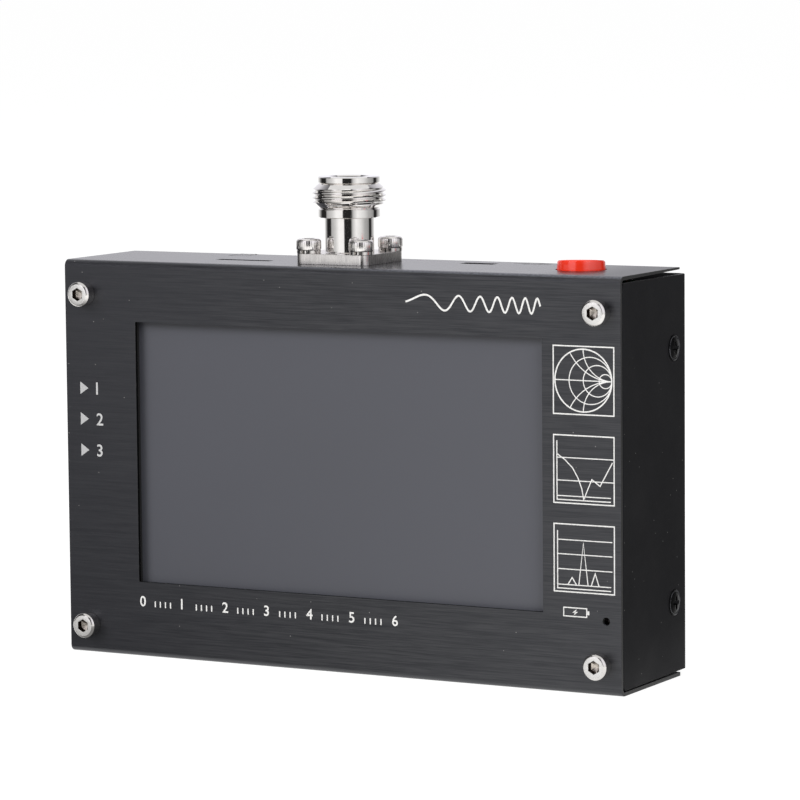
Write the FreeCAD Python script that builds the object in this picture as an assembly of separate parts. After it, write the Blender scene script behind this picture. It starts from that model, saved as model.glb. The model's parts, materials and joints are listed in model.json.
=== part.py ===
"""Handheld antenna analyzer.

Two folded sheets make the case. Inside lie, from front to back: gasket, touch panel, display,
display board, main board and a pouch cell taped to the back. An N-type socket and a push button
stand on the top.

Millimetres, +Z up. The origin is the centre of the underside, +X runs to the right and the front
faces -Y. A "depth" is the distance behind the front face.
"""
import FreeCAD, Part
import math
import os

Vec = FreeCAD.Vector

# ------------------------------------------------------------------ case
case_width = 135.0
case_height = 87.0
sheet = 0.8                     # thickness of both folded sheets
fold_radius = 2.0               # outside radius of their folds
leg_setback = 4.1               # rear edge of the top and bottom to the rear face
shell_seam = 0.2                # front sheet to the sides of the rear sheet
top_edge_gap = 0.4              # top to the sides, at the front
low_edge_gap = 0.2              # bottom to the sides, at the front
edge_taper = 0.2                # both gaps are wider by this much at the rear
side_corner = 1.4               # rounding of the sides' front corners, inside the folds

window_side_margin = 18.0       # front to the left and right of the window
window_low_margin = 16.6
window_top_margin = 13.2

# ------------------------------------------------------------------ corner brackets
bracket_sheet = 1.2
bracket_fold_radius = 1.5
bracket_flange = 8.0            # width of the flange behind the front
bracket_end_gap = 1.5           # flange ends to the top and bottom sheets
bracket_side_inset = 10.5       # side plate ends to the underside and the top
bracket_rear_gap = 1.3          # side plate to the back sheet

# ------------------------------------------------------------------ M3 fasteners
screw_diameter = 2.9
screw_play = 0.05               # radial, thread to nut or standoff
clearance_diameter = 3.4
cap_head_diameter = 5.5
cap_head_height = 3.0
cap_head_bevel = 0.35
hex_key = 2.5                   # across flats
hex_key_depth = 1.6

front_screw_side_inset = 5.0
front_screw_low_inset = 6.3     # lower pair, above the underside
front_screw_top_inset = 7.4     # upper pair, below the top

standoff_diameter = 5.0
front_standoff_length = 8.1
rear_standoff_length = 7.8
thread_grip = 5.0               # front screws in their standoffs
thread_end_gap = 0.5            # screw tip to the bottom of the bore
stud_grip = 3.0                 # studs and board screws in the rear standoffs
pan_head_diameter = 5.0
pan_head_height = 1.8

side_screw_rear_inset = 6.9
side_screw_low_inset = 16.1     # above the underside
side_screw_top_inset = 16.8     # below the top
side_head_diameter = 5.6
side_head_dome = 0.45           # stands proud of the side by this much
screw_tip = 0.8                 # side and flange screws beyond their nuts
countersink_play = 0.1          # radial, screw cone to the countersink
cross_width = 0.75
cross_span = 3.2
cross_depth = 1.1
press_nut_diameter = 5.6
press_nut_length = 3.0

# ------------------------------------------------------------------ screen
screen_side_border = 3.25       # screen beyond the window
screen_end_border = 5.0
gasket_thickness = 1.2
gasket_reveal = 0.3             # gasket opening beyond the window, each side
touch_thickness = 1.2
display_thickness = 2.9         # with its steel frame
display_rim = 0.8
display_back = 0.4
display_play = 0.1              # panel to frame rim
pad_width = 12.0
pad_height = 6.0
pad_inset = 8.0                 # pads in from the screen's edges

ribbon_thickness = 0.15
ribbon_drop = 2.1               # straight part below the screen before the bend
ribbon_play = 0.1               # ribbon to the socket's slot
ribbon_grip = 1.2               # length of ribbon inside its socket
ribbon_socket_height = 1.5      # off the board
ribbon_socket_length = 4.5
ribbon_socket_margin = 2.0      # wider than the ribbon, each side
ribbon_socket_drop = 2.0        # mouth of the ribbon sockets below the screen
display_ribbon_x = 14.0
display_ribbon_width = 21.0
touch_ribbon_x = -28.0
touch_ribbon_width = 5.0

# ------------------------------------------------------------------ boards
board_thickness = 1.6
board_side_gap = 0.7            # board to the bracket's side plate
board_end_gap = 1.5             # board to the top and bottom sheets
board_hole_diameter = 3.2
notch_side_gap = 1.6            # board notches beyond the nuts and the button, each side
notch_under_gap = 0.8           # and below them
notch_radius = 1.0
board_corner = 1.0

processor_x = 10.0
processor_z = 38.0
processor_size = 16.0
processor_height = 1.4
processor_lead_count = 18       # on each side
memory_x = 36.0
memory_z = 38.0
memory_width = 10.2
memory_length = 20.0
memory_height = 1.1
memory_lead_count = 14          # on each long side
lead_width = 0.25
lead_length = 0.9
lead_thickness = 0.2

header_x = 22.0
header_z = 16.0
header_column_count = 8
header_row_count = 2
header_pitch = 2.54
header_socket_height = 5.1
header_pin_size = 0.64
header_pin_overlap = 3.8        # pin inside the socket
header_hole_play = 0.12         # pin to the socket's square hole
pin_tail = 0.9                  # pins stand out behind the boards
pin_hole_diameter = 1.0

card_slot_x = -29.0
card_slot_width = 13.4
card_slot_height = 2.3
card_socket_length = 15.0
card_socket_height = 1.9
card_socket_wall = 0.2
card_width = 11.2               # free width and height for the card
card_gap = 0.9
card_depth = 12.0

usb_slot_x = 23.45
usb_slot_width = 7.9
usb_slot_height = 3.2
usb_width = 7.6
usb_height = 2.6
usb_length = 5.6
usb_wall = 0.3
usb_tongue_width = 4.4
usb_tongue_thickness = 0.6
usb_tongue_length = 4.2
usb_back_wall = 0.8
socket_top_gap = 0.2            # card and USB sockets to the top sheet

# ------------------------------------------------------------------ main board parts
shield_x = -6.0
shield_drop = 20.0              # top of the shield below the case's top
shield_width = 34.0
shield_height = 26.0
shield_depth = 3.2              # off the board
shield_wall = 0.3
shield_cover_lip = 1.6
shield_play = 0.05              # cover to frame
mixer_width = 3.9
mixer_length = 4.9
mixer_height = 1.4
mixer_lead_count = 4            # on each side
mixer_offsets = ((-10.0, 6.0), (-10.0, -5.0), (0.0, 6.0))       # from the shield's centre
clock_offset_x = 1.0
clock_offset_z = -5.5
clock_size = 3.0
clock_height = 1.0
crystal_offset_x = 10.5
crystal_offset_z = 0.5
crystal_width = 5.0
crystal_length = 7.0
crystal_height = 1.8

inductor_edge_inset = 20.6      # to the board's right-hand edge
inductor_z = 42.0
inductor_size = 6.0
inductor_height = 2.4
regulator_edge_inset = 34.6     # to the board's right-hand edge
regulator_z = 42.0
regulator_width = 3.5
regulator_length = 6.5
regulator_height = 1.6
regulator_lead_count = 3        # on each side
chip_part_length = 2.0          # capacitors and resistors
chip_part_width = 1.25
capacitor_height = 1.1
resistor_height = 0.5
capacitor_count = 6
resistor_count = 8
chip_part_pitch = 3.2
chip_row_edge_inset = 40.6      # first part of each row to the board's right-hand edge
capacitor_row_z = 32.0
resistor_row_z = 27.0

# ------------------------------------------------------------------ power button and switch
button_side_inset = 16.65       # axis to the right-hand side
button_diameter = 10.3
button_top_diameter = 10.1
button_proud = 1.9              # above the top
button_skirt = 3.2              # below the top
button_edge = 0.4
button_play = 0.3               # radial, cap to the hole in the top
button_travel = 1.5
switch_size = 7.0
switch_drop = 8.0               # switch housing below the top
switch_height = 11.0
switch_wall = 1.1
switch_stem = 3.3
switch_stem_play = 0.2
switch_foot = 4.2
switch_foot_height = 2.0
switch_foot_gap = 0.3           # foot to the underside of the switch's top wall
switch_floor = 1.5
switch_roof = 1.5
stem_grip = 3.4                 # stem inside the cap
spring_wire = 0.4
spring_wire_sides = 8
spring_diameter = 3.4
spring_coil_count = 5
spring_end_gap = 0.05
terminal_size = 0.6
terminal_pitch = 2.5
terminal_spacing = 4.5          # between the two rows

# ------------------------------------------------------------------ charge light
light_side_inset = 3.45
light_z = 15.6
light_hole_diameter = 1.7       # in the front
light_lens_diameter = 1.6
light_collar_diameter = 2.0
light_collar_length = 1.2
light_flange_hole = 2.0
light_front_gap = 0.2           # lens to the front sheet
light_lead_diameter = 0.4
light_lead_pitch = 1.2
lead_hole_diameter = 0.6

# ------------------------------------------------------------------ battery
battery_x = -22.0
battery_bottom_z = 18.0
battery_width = 58.0
battery_height = 46.0
battery_thickness = 5.6
battery_edge = 2.0              # rounding of the pouch's long edges
tape_thickness = 0.4
battery_gap = 5.2               # main board to the cell
tape_width = 24.0
tape_height = 36.0
protection_width = 24.0
protection_height = 4.0
protection_thickness = 2.0
battery_socket_x = 33.0
battery_socket_length = 5.0
battery_socket_width = 7.8
battery_socket_height = 4.8     # off the board
battery_plug_length = 6.0
battery_plug_inset = 2.6        # plug inside the socket
battery_plug_wall = 0.9         # socket around the plug
battery_plug_play = 0.1
battery_lead_diameter = 1.3
battery_lead_spacing = 2.0
battery_lead_straight = 9.0     # straight at both ends

# ------------------------------------------------------------------ N-type socket
socket_x = -4.45
socket_flange = 17.5
socket_flange_corner = 1.75
socket_flange_thickness = 2.25
socket_hole_spacing = 12.9
# heights above the flange's underside
barrel_diameter = 10.65
collar_diameter = 13.3
collar_bottom = 9.8
collar_top = 11.6
neck_diameter = 10.3            # groove between the collar and the thread
neck_length = 0.35
thread_start = 12.45
thread_diameter = 15.875
thread_depth = 0.65
thread_pitch = 1.058
crest_count = 4
thread_flat = 0.14              # width of the crests and roots
rim_height = 18.6
rim_length = 1.3
rim_bevel = 0.2
mouth_diameter = 8.1
mouth_depth = 9.1
insulator_diameter = 7.0
insulator_step = 5.6            # diameter where it passes the top
insulator_tail = 3.5            # below the top's outer face
insulator_play = 0.3            # radial, to the hole in the top
contact_diameter = 3.04
contact_below_rim = 4.5
contact_bevel = 0.2
contact_bore = 1.65
contact_bore_depth = 5.5
contact_slot = 0.3
contact_slot_length = 4.5
contact_neck = 1.8
contact_seat = 1.5              # the full diameter starts this far above the flange's underside
solder_cup_diameter = 2.5
solder_cup_length = 3.5
solder_cup_bore = 1.2
solder_cup_bore_depth = 2.2
flange_head_diameter = 5.4
flange_head_height = 2.45
flange_head_round = 0.45
knurl_count = 36
knurl_depth = 0.12
washer_diameter = 5.2
washer_bore = 3.2
washer_thickness = 0.7
washer_split = 0.8
nut_across_flats = 5.5
nut_height = 2.4
feed_diameter = 0.6
feed_drop = 2.4                 # straight down from the solder cup before it bends
feed_run = 2.2                  # straight run that ends on the board

overcut = 1.0                   # cutting shapes reach this far past what they cut

# ------------------------------------------------------------------ what follows from the sizes
window_width = case_width - 2 * window_side_margin
window_height = case_height - window_low_margin - window_top_margin
window_centre_z = window_low_margin + window_height / 2
screen_width = window_width + 2 * screen_side_border
screen_height = window_height + 2 * screen_end_border
half_width = case_width / 2
top_z = case_height
inner_top_z = top_z - sheet
half_inner_width = half_width - sheet
flange_depth = sheet + bracket_sheet
glass_depth = sheet + gasket_thickness
display_depth = glass_depth + touch_thickness
display_rear_depth = display_depth + display_thickness
display_board_depth = flange_depth + front_standoff_length
display_board_rear = display_board_depth + board_thickness
main_board_depth = display_board_rear + rear_standoff_length
main_board_rear = main_board_depth + board_thickness
socket_depth = (display_board_rear + main_board_depth) / 2
switch_depth = main_board_depth - switch_size / 2
card_slot_depth = display_board_rear + card_socket_height / 2
usb_slot_depth = main_board_rear + usb_height / 2
battery_depth = main_board_rear + battery_gap
back_depth = battery_depth + battery_thickness + tape_thickness
case_depth = back_depth + sheet
front_screw_x = half_width - front_screw_side_inset
front_screw_heights = (front_screw_low_inset, top_z - front_screw_top_inset)
front_screw_places = [(x, z) for x in (-front_screw_x, front_screw_x) for z in front_screw_heights]
side_screw_depth = case_depth - side_screw_rear_inset
side_screw_heights = (side_screw_low_inset, top_z - side_screw_top_inset)
front_screw_length = flange_depth + thread_grip
board_screw_length = board_thickness + stud_grip
side_screw_length = sheet + bracket_sheet + press_nut_length + screw_tip
flange_screw_length = washer_thickness + socket_flange_thickness + sheet + nut_height + screw_tip
bore_diameter = screw_diameter + 2 * screw_play
button_x = half_width - button_side_inset
switch_top_z = top_z - switch_drop
switch_bottom_z = switch_top_z - switch_height
light_x = half_width - light_side_inset
board_half_width = half_inner_width - bracket_sheet - board_side_gap
inductor_x = board_half_width - inductor_edge_inset
regulator_x = board_half_width - regulator_edge_inset
chip_row_x = board_half_width - chip_row_edge_inset
shield_z = top_z - shield_drop - shield_height / 2
clock_x = shield_x + clock_offset_x
clock_z = shield_z + clock_offset_z
crystal_x = shield_x + crystal_offset_x
crystal_z = shield_z + crystal_offset_z
mixer_places = [(shield_x + x, shield_z + z) for x, z in mixer_offsets]
battery_lead_z = battery_bottom_z + battery_height + protection_height / 2
board_bottom_z = sheet + board_end_gap
board_top_z = inner_top_z - board_end_gap
screen_bottom_z = window_centre_z - screen_height / 2
screen_top_z = window_centre_z + screen_height / 2
ribbon_socket_bottom_z = screen_bottom_z - ribbon_socket_drop
flange_hole_offsets = [(x, y) for x in (-1, 1) for y in (-1, 1)]
contact_top_z = top_z + rim_height - contact_below_rim
solder_cup_bottom_z = top_z - insulator_tail - solder_cup_length


# ------------------------------------------------------------------ shape helpers
def point(axis, along, u, v):
    """Point at a distance along an axis; u and v are the other two of (x, depth, z), in order."""
    x, depth, z = {"x": (along, u, v), "y": (u, along, v), "z": (u, v, along)}[axis]
    return Vec(x, depth - case_depth / 2, z)


def box(x0, x1, depth0, depth1, z0, z1):
    """Block between two values of x, depth and z."""
    return Part.makeBox(x1 - x0, depth1 - depth0, z1 - z0, point("x", x0, depth0, z0))


def block(x, depth0, z, width, thickness, height):
    """Block centred on x and z that starts at a depth."""
    return box(x - width / 2, x + width / 2, depth0, depth0 + thickness, z - height / 2, z + height / 2)


def rod(axis, start, end, u, v, diameter):
    """Round bar along an axis between two places on it."""
    base = point(axis, start, u, v)
    direction = point(axis, end, u, v) - base
    return Part.makeCylinder(diameter / 2, direction.Length, base, direction)


def outline_wire(axis, along, corners):
    """Closed wire through corners (u, v) or (u, v, rounding) in a plane across an axis."""
    corners = [tuple(corner) + (0,) * (3 - len(corner)) for corner in corners]
    bends = []
    for index, (u, v, radius) in enumerate(corners):
        corner = Vec(u, v, 0)
        before = corners[index - 1]
        after = corners[(index + 1) % len(corners)]
        back = (Vec(before[0], before[1], 0) - corner).normalize()
        ahead = (Vec(after[0], after[1], 0) - corner).normalize()
        if radius == 0:
            bends.append([corner])
            continue
        half_angle = back.getAngle(ahead) / 2
        reach = radius / math.tan(half_angle)
        inward = (back + ahead).normalize()
        middle = corner + inward * (radius / math.sin(half_angle) - radius)
        bends.append([corner + back * reach, middle, corner + ahead * reach])
    placed = [[point(axis, along, p.x, p.y) for p in bend] for bend in bends]
    edges = []
    for index, bend in enumerate(placed):
        if len(bend) == 3:
            edges.append(Part.Arc(*bend).toShape())
        following = placed[(index + 1) % len(placed)][0]
        if bend[-1].distanceToPoint(following) > 1e-6:
            edges.append(Part.makeLine(bend[-1], following))
    return Part.Wire(edges)


def prism(axis, start, end, corners):
    """Outline with rounded corners, carried along an axis from start to end."""
    face = Part.Face(outline_wire(axis, start, corners))
    return face.extrude(point(axis, end, 0, 0) - point(axis, start, 0, 0))


def regular_corners(u, v, across_flats, sides):
    """Corners of a regular polygon with flats up and down."""
    radius = across_flats / 2 / math.cos(math.pi / sides)
    angles = [math.pi * (2 * index + 1) / sides for index in range(sides)]
    return [(u + radius * math.cos(a), v + radius * math.sin(a)) for a in angles]


def channel_corners(u0, u1, web_v, end0_v, end1_v, thickness, radius):
    """U-shaped section: legs along v at u0 and u1, ending at end0_v and end1_v, web at web_v."""
    way = 1 if end0_v > web_v else -1
    inner = max(radius - thickness, 0.01)
    inner_web_v = web_v + way * thickness
    return [
        (u0, end0_v), (u0, web_v, radius), (u1, web_v, radius), (u1, end1_v),
        (u1 - thickness, end1_v), (u1 - thickness, inner_web_v, inner),
        (u0 + thickness, inner_web_v, inner), (u0 + thickness, end0_v),
    ]


def lathe(x, depth, profile):
    """Solid of revolution about a vertical axis, from (radius, z) points."""
    corners = [point("z", z, x + radius, depth) for radius, z in profile]
    face = Part.Face(Part.makePolygon(corners + corners[:1]))
    return face.revolve(point("z", 0, x, depth), Vec(0, 0, 1), 360)


def aimed(shape, axis, way, along, u, v):
    """Copy of a fastener that was drawn pointing up, turned along an axis and put in its place."""
    direction = {"x": Vec(way, 0, 0), "y": Vec(0, way, 0), "z": Vec(0, 0, way)}[axis]
    placed = shape.copy()
    placed.Placement = FreeCAD.Placement(
        point(axis, along, u, v), FreeCAD.Rotation(Vec(0, 0, 1), direction))
    return placed


def turned(profile):
    """Solid of revolution about the local Z axis, from (radius, z) points."""
    corners = [Vec(radius, 0, z) for radius, z in profile]
    face = Part.Face(Part.makePolygon(corners + corners[:1]))
    return face.revolve(Vec(0, 0, 0), Vec(0, 0, 1), 360)


def cut_all(shape, tools):
    """Shape with every tool taken away."""
    return shape.cut(Part.makeCompound(tools)) if tools else shape


def fused(shapes):
    """One solid from touching shapes."""
    return shapes[0].multiFuse(shapes[1:]).removeSplitter()


def bent_rod(points, diameter):
    """Wire of straight runs and tangent arcs through (x, depth, z) points."""
    places = [point("x", *p) for p in points]
    edges = []
    start = places[0]
    for before, corner, after in zip(places, places[1:], places[2:]):
        back = (before - corner).normalize()
        ahead = (after - corner).normalize()
        half_angle = back.getAngle(ahead) / 2
        reach = 0.45 * min(before.distanceToPoint(corner), corner.distanceToPoint(after))
        radius = reach * math.tan(half_angle)
        print(f"bend radius {radius:.1f} mm in a wire of {diameter} mm")
        inward = (back + ahead).normalize()
        middle = corner + inward * (radius / math.sin(half_angle) - radius)
        edges.append(Part.makeLine(start, corner + back * reach))
        edges.append(Part.Arc(corner + back * reach, middle, corner + ahead * reach).toShape())
        start = corner + ahead * reach
    edges.append(Part.makeLine(start, places[-1]))
    path = Part.Wire(edges)
    ring = Part.Wire(Part.makeCircle(diameter / 2, places[0], places[1] - places[0]))
    return path.makePipeShell([ring], True, True)


# ------------------------------------------------------------------ fasteners
def hex_recess(head_height):
    """Hexagonal key recess with a drill point, sunk in a head that stands on z = 0."""
    bottom = head_height - hex_key_depth
    corners = [Vec(u, v, bottom) for u, v in regular_corners(0, 0, hex_key, 6)]
    flats = Part.Face(Part.makePolygon(corners + corners[:1])).extrude(Vec(0, 0, hex_key_depth))
    tip = turned([(0, bottom - hex_key / 4), (hex_key / 2, bottom), (0, bottom)])
    return flats.fuse(tip)


def front_screw():
    """Socket cap screw, head on z = 0, with a bevelled rim."""
    head = turned([
        (0, 0), (cap_head_diameter / 2, 0), (cap_head_diameter / 2, cap_head_height - cap_head_bevel),
        (cap_head_diameter / 2 - cap_head_bevel, cap_head_height), (0, cap_head_height)])
    shank = Part.makeCylinder(screw_diameter / 2, front_screw_length, Vec(0, 0, -front_screw_length))
    return fused([head, shank]).cut(hex_recess(cap_head_height))


def flange_screw():
    """Knurled socket cap screw, head on z = 0, with a rounded rim."""
    steps = [math.pi * index / knurl_count for index in range(2 * knurl_count)]
    radii = [flange_head_diameter / 2 - knurl_depth * (index % 2) for index in range(2 * knurl_count)]
    ridges = [Vec(r * math.cos(a), r * math.sin(a), 0) for r, a in zip(radii, steps)]
    knurled = Part.Face(Part.makePolygon(ridges + ridges[:1])).extrude(Vec(0, 0, flange_head_height))
    radius = flange_head_diameter / 2
    top = flange_head_height
    rim = [
        (radius - flange_head_round * (1 - math.cos(a)), top - flange_head_round * (1 - math.sin(a)))
        for a in (0, math.pi / 8, math.pi / 4, 3 * math.pi / 8, math.pi / 2)]
    envelope = turned([(0, 0), (radius, 0)] + rim + [(0, top)])
    shank = Part.makeCylinder(screw_diameter / 2, flange_screw_length, Vec(0, 0, -flange_screw_length))
    return fused([knurled.common(envelope), shank]).cut(hex_recess(flange_head_height))


def cross_recess(head_top):
    """Cross-shaped driver recess, narrower towards its bottom."""
    half = cross_width / 2
    arms = []
    for turn in (0, 90):
        side = [Vec(-cross_span / 2, 0, head_top), Vec(cross_span / 2, 0, head_top),
                Vec(half, 0, head_top - cross_depth), Vec(-half, 0, head_top - cross_depth)]
        arm = Part.Face(Part.makePolygon(side + side[:1])).extrude(Vec(0, cross_width, 0))
        arm.translate(Vec(0, -half, 0))
        arm.rotate(Vec(0, 0, 0), Vec(0, 0, 1), turn)
        arms.append(arm)
    return arms[0].fuse(arms[1])


def side_screw():
    """Raised countersunk cross-head screw: z = 0 is the surface that it sits in."""
    head = side_head_diameter / 2
    shank = screw_diameter / 2
    middle = head * 0.6
    body = turned([
        (0, -side_screw_length), (shank, -side_screw_length), (shank, shank - head), (head, 0),
        (middle, side_head_dome * 0.7), (middle / 2, side_head_dome * 0.94), (0, side_head_dome)])
    return body.cut(cross_recess(side_head_dome))


def board_screw():
    """Pan-head cross-head screw, head on z = 0."""
    radius = pan_head_diameter / 2
    head = turned([
        (0, 0), (radius, 0), (radius, pan_head_height * 0.5), (radius * 0.8, pan_head_height * 0.9),
        (radius * 0.4, pan_head_height), (0, pan_head_height)])
    shank = Part.makeCylinder(screw_diameter / 2, board_screw_length, Vec(0, 0, -board_screw_length))
    return fused([head, shank]).cut(cross_recess(pan_head_height))


# ------------------------------------------------------------------ case
def front_shell():
    """Front, top and bottom, with every opening in them."""
    leg_end = case_depth - leg_setback
    legs = [(v, u, *r) for u, v, *r in channel_corners(0, top_z, 0, leg_end, leg_end, sheet, fold_radius)]
    shell = prism("x", -half_width, half_width, legs)
    front = -overcut
    rear = sheet + overcut
    tools = [block(0, front, window_centre_z, window_width, rear - front, window_height)]
    tools += [rod("y", front, rear, x, z, clearance_diameter) for x, z in front_screw_places]
    tools.append(rod("y", front, rear, light_x, light_z, light_hole_diameter))
    low = inner_top_z - overcut
    high = top_z + overcut
    insulator_hole = insulator_step + 2 * insulator_play
    tools.append(rod("z", low, high, socket_x, socket_depth, insulator_hole))
    tools += [rod("z", low, high, x, depth, clearance_diameter) for x, depth in flange_screw_places()]
    tools.append(rod("z", low, high, button_x, switch_depth, button_diameter + 2 * button_play))
    for x, depth, width, height in (
            (card_slot_x, card_slot_depth, card_slot_width, card_slot_height),
            (usb_slot_x, usb_slot_depth, usb_slot_width, usb_slot_height)):
        tools.append(box(x - width / 2, x + width / 2, depth - height / 2, depth + height / 2, low, high))
    return cut_all(shell, tools)


def rear_shell():
    """Back and both sides; its edges fall away from the top and bottom towards the rear."""
    front_end = sheet + shell_seam
    section = channel_corners(-half_width, half_width, case_depth, front_end, front_end, sheet, fold_radius)
    low = sheet + low_edge_gap
    high = inner_top_z - top_edge_gap
    side_view = [
        (front_end, low, side_corner), (front_end, high, side_corner),
        (case_depth, high - edge_taper), (case_depth, low + edge_taper)]
    shell = prism("z", low, high, section).common(prism("x", -half_width, half_width, side_view))
    return cut_all(shell, [countersink(side, z) for side in (-1, 1) for z in side_screw_heights])


def countersink(side, z):
    """Cone that the side screws sit in."""
    head = side_head_diameter / 2 + countersink_play
    deep = head - clearance_diameter / 2
    cone = turned([(0, -deep), (clearance_diameter / 2, -deep), (head, 0), (head, sheet), (0, sheet)])
    return aimed(cone, "x", side, side * half_width, side_screw_depth, z)


def bracket(side):
    """Corner bracket: flange behind the front and plate inside one side."""
    outer = side * half_inner_width
    inner = side * (half_inner_width - bracket_sheet)
    edge = side * (half_inner_width - bracket_flange)
    rear = back_depth - bracket_rear_gap
    inside_fold = bracket_fold_radius - bracket_sheet
    section = [
        (outer, sheet, bracket_fold_radius), (outer, rear), (inner, rear),
        (inner, flange_depth, inside_fold), (edge, flange_depth), (edge, sheet)]
    folded = prism("z", bracket_side_inset, top_z - bracket_side_inset, section)
    flat_edge = side * (half_inner_width - bracket_fold_radius)
    flange = box(min(edge, flat_edge), max(edge, flat_edge), sheet, flange_depth,
                 sheet + bracket_end_gap, inner_top_z - bracket_end_gap)
    tools = [rod("y", 0, flange_depth + overcut, side * front_screw_x, z, clearance_diameter)
             for z in front_screw_heights]
    tools += [rod("x", side * half_width, inner - side * overcut, side_screw_depth, z, clearance_diameter)
              for z in side_screw_heights]
    tools += [countersink(side, z) for z in side_screw_heights]
    if side > 0:
        tools.append(rod("y", 0, flange_depth + overcut, light_x, light_z, light_flange_hole))
    return cut_all(fused([folded, flange]), tools)


def bracket_nuts():
    """Round press nuts inside the side plates."""
    nuts = []
    for side in (-1, 1):
        seat = side * (half_inner_width - bracket_sheet)
        for z in side_screw_heights:
            nut = rod("x", seat, seat - side * press_nut_length, side_screw_depth, z, press_nut_diameter)
            hole = rod("x", seat + side * overcut, seat - side * (press_nut_length + overcut),
                       side_screw_depth, z, bore_diameter)
            nuts.append(nut.cut(hole))
    return nuts


def front_screws():
    """Four screws in the front, heads outwards."""
    return [aimed(front_screw(), "y", -1, 0, x, z) for x, z in front_screw_places]


def side_screws():
    """Two screws in each side."""
    return [aimed(side_screw(), "x", side, side * half_width, side_screw_depth, z)
            for side in (-1, 1) for z in side_screw_heights]


def front_standoffs():
    """Posts between the brackets and the display board, each with a stud through the board."""
    posts = []
    for x, z in front_screw_places:
        post = rod("y", flange_depth, display_board_depth, x, z, standoff_diameter)
        stud = rod("y", display_board_depth, display_board_rear + stud_grip, x, z, screw_diameter)
        bore = rod("y", 0, front_screw_length + thread_end_gap, x, z, bore_diameter)
        posts.append(fused([post, stud]).cut(bore))
    return posts


def rear_standoffs():
    """Bored posts between the two boards."""
    posts = []
    for x, z in front_screw_places:
        post = rod("y", display_board_rear, main_board_depth, x, z, standoff_diameter)
        posts.append(post.cut(rod("y", 0, case_depth, x, z, bore_diameter)))
    return posts


def board_screws():
    """Four screws that hold the main board from behind."""
    return [aimed(board_screw(), "y", 1, main_board_rear, x, z) for x, z in front_screw_places]


# ------------------------------------------------------------------ screen
def screen_gasket():
    """Foam frame between the front and the touch panel."""
    frame = block(0, sheet, window_centre_z, screen_width, gasket_thickness, screen_height)
    opening = block(0, 0, window_centre_z, window_width + 2 * gasket_reveal, glass_depth + overcut,
                    window_height + 2 * gasket_reveal)
    return frame.cut(opening)


def touch_panel():
    """Glass with the touch film."""
    return block(0, glass_depth, window_centre_z, screen_width, touch_thickness, screen_height)


def display_frame():
    """Steel tray around the display panel."""
    tray = block(0, display_depth, window_centre_z, screen_width, display_thickness, screen_height)
    pocket = block(0, 0, window_centre_z, screen_width - 2 * display_rim,
                   display_rear_depth - display_back, screen_height - 2 * display_rim)
    return tray.cut(pocket)


def display_panel():
    """Liquid crystal panel and back light, in the tray."""
    inset = 2 * (display_rim + display_play)
    thickness = display_thickness - display_back
    return block(0, display_depth, window_centre_z, screen_width - inset, thickness, screen_height - inset)


def screen_pads():
    """Foam pads between the display and its board."""
    pads = []
    for side in (-1, 1):
        x = side * (screen_width / 2 - pad_inset - pad_width / 2)
        for z in (screen_bottom_z + pad_inset + pad_height / 2, screen_top_z - pad_inset - pad_height / 2):
            thickness = display_board_depth - display_rear_depth
            pads.append(block(x, display_rear_depth, z, pad_width, thickness, pad_height))
    return pads


def ribbon_slot_depth():
    """Depth of the outer face of a ribbon inside its socket."""
    return display_board_depth - ribbon_socket_height / 2 + ribbon_thickness / 2


def ribbon(x, width, exit_depth):
    """Flat cable that leaves the screen's lower edge and turns back up into its socket."""
    far = ribbon_slot_depth()
    radius = (far - exit_depth) / 2
    low = screen_bottom_z - ribbon_drop - radius
    high = ribbon_socket_bottom_z + ribbon_grip
    section = channel_corners(exit_depth, far, low, screen_bottom_z, high, ribbon_thickness,
                              radius - ribbon_play / 2)
    return prism("x", x - width / 2, x + width / 2, section)


def ribbon_socket(x, width):
    """Flat cable socket on the front of the display board, open downwards."""
    front = display_board_depth - ribbon_socket_height
    half = width / 2
    high = ribbon_socket_bottom_z + ribbon_socket_length
    body = box(x - half - ribbon_socket_margin, x + half + ribbon_socket_margin, front,
               display_board_depth, ribbon_socket_bottom_z, high)
    far = ribbon_slot_depth()
    slot = box(x - half - ribbon_play, x + half + ribbon_play, far - ribbon_thickness - ribbon_play,
               far + ribbon_play, 0, ribbon_socket_bottom_z + ribbon_grip + ribbon_play)
    return body.cut(slot)


# ------------------------------------------------------------------ boards and chips
def board(depth, holes):
    """Circuit board with its holes and with notches under the button and the N-type socket."""
    corners = [
        (-board_half_width, board_bottom_z, board_corner), (board_half_width, board_bottom_z, board_corner),
        (board_half_width, board_top_z, board_corner)]
    screw_end = top_z + socket_flange_thickness + washer_thickness - flange_screw_length
    button_end = top_z - button_skirt - button_travel
    for x, half, lowest in (
            (button_x, button_diameter / 2, button_end),
            (socket_x, (socket_hole_spacing + nut_across_flats) / 2, screw_end)):
        right = x + half + notch_side_gap
        left = x - half - notch_side_gap
        floor = lowest - notch_under_gap
        corners += [(right, board_top_z), (right, floor, notch_radius)]
        corners += [(left, floor, notch_radius), (left, board_top_z)]
    corners.append((-board_half_width, board_top_z, board_corner))
    plate = prism("y", depth, depth + board_thickness, corners)
    tools = [rod("y", 0, case_depth, x, z, board_hole_diameter) for x, z in front_screw_places]
    tools += [rod("y", 0, case_depth, x, z, diameter) for x, z, diameter in holes]
    return cut_all(plate, tools)


def header_places():
    """Centres of the header's pins."""
    across = (header_column_count - 1) / 2
    up = (header_row_count - 1) / 2
    return [(header_x + (column - across) * header_pitch, header_z + (row - up) * header_pitch)
            for column in range(header_column_count) for row in range(header_row_count)]


def terminal_places():
    """Centres of the switch's six terminals."""
    middle = switch_bottom_z + switch_height / 2
    return [(button_x + side * terminal_spacing / 2, middle + row * terminal_pitch)
            for side in (-1, 1) for row in (-1, 0, 1)]


def light_lead_places():
    """Centres of the two leads of the charge light."""
    return [(light_x + side * light_lead_pitch / 2, light_z) for side in (-1, 1)]


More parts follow.
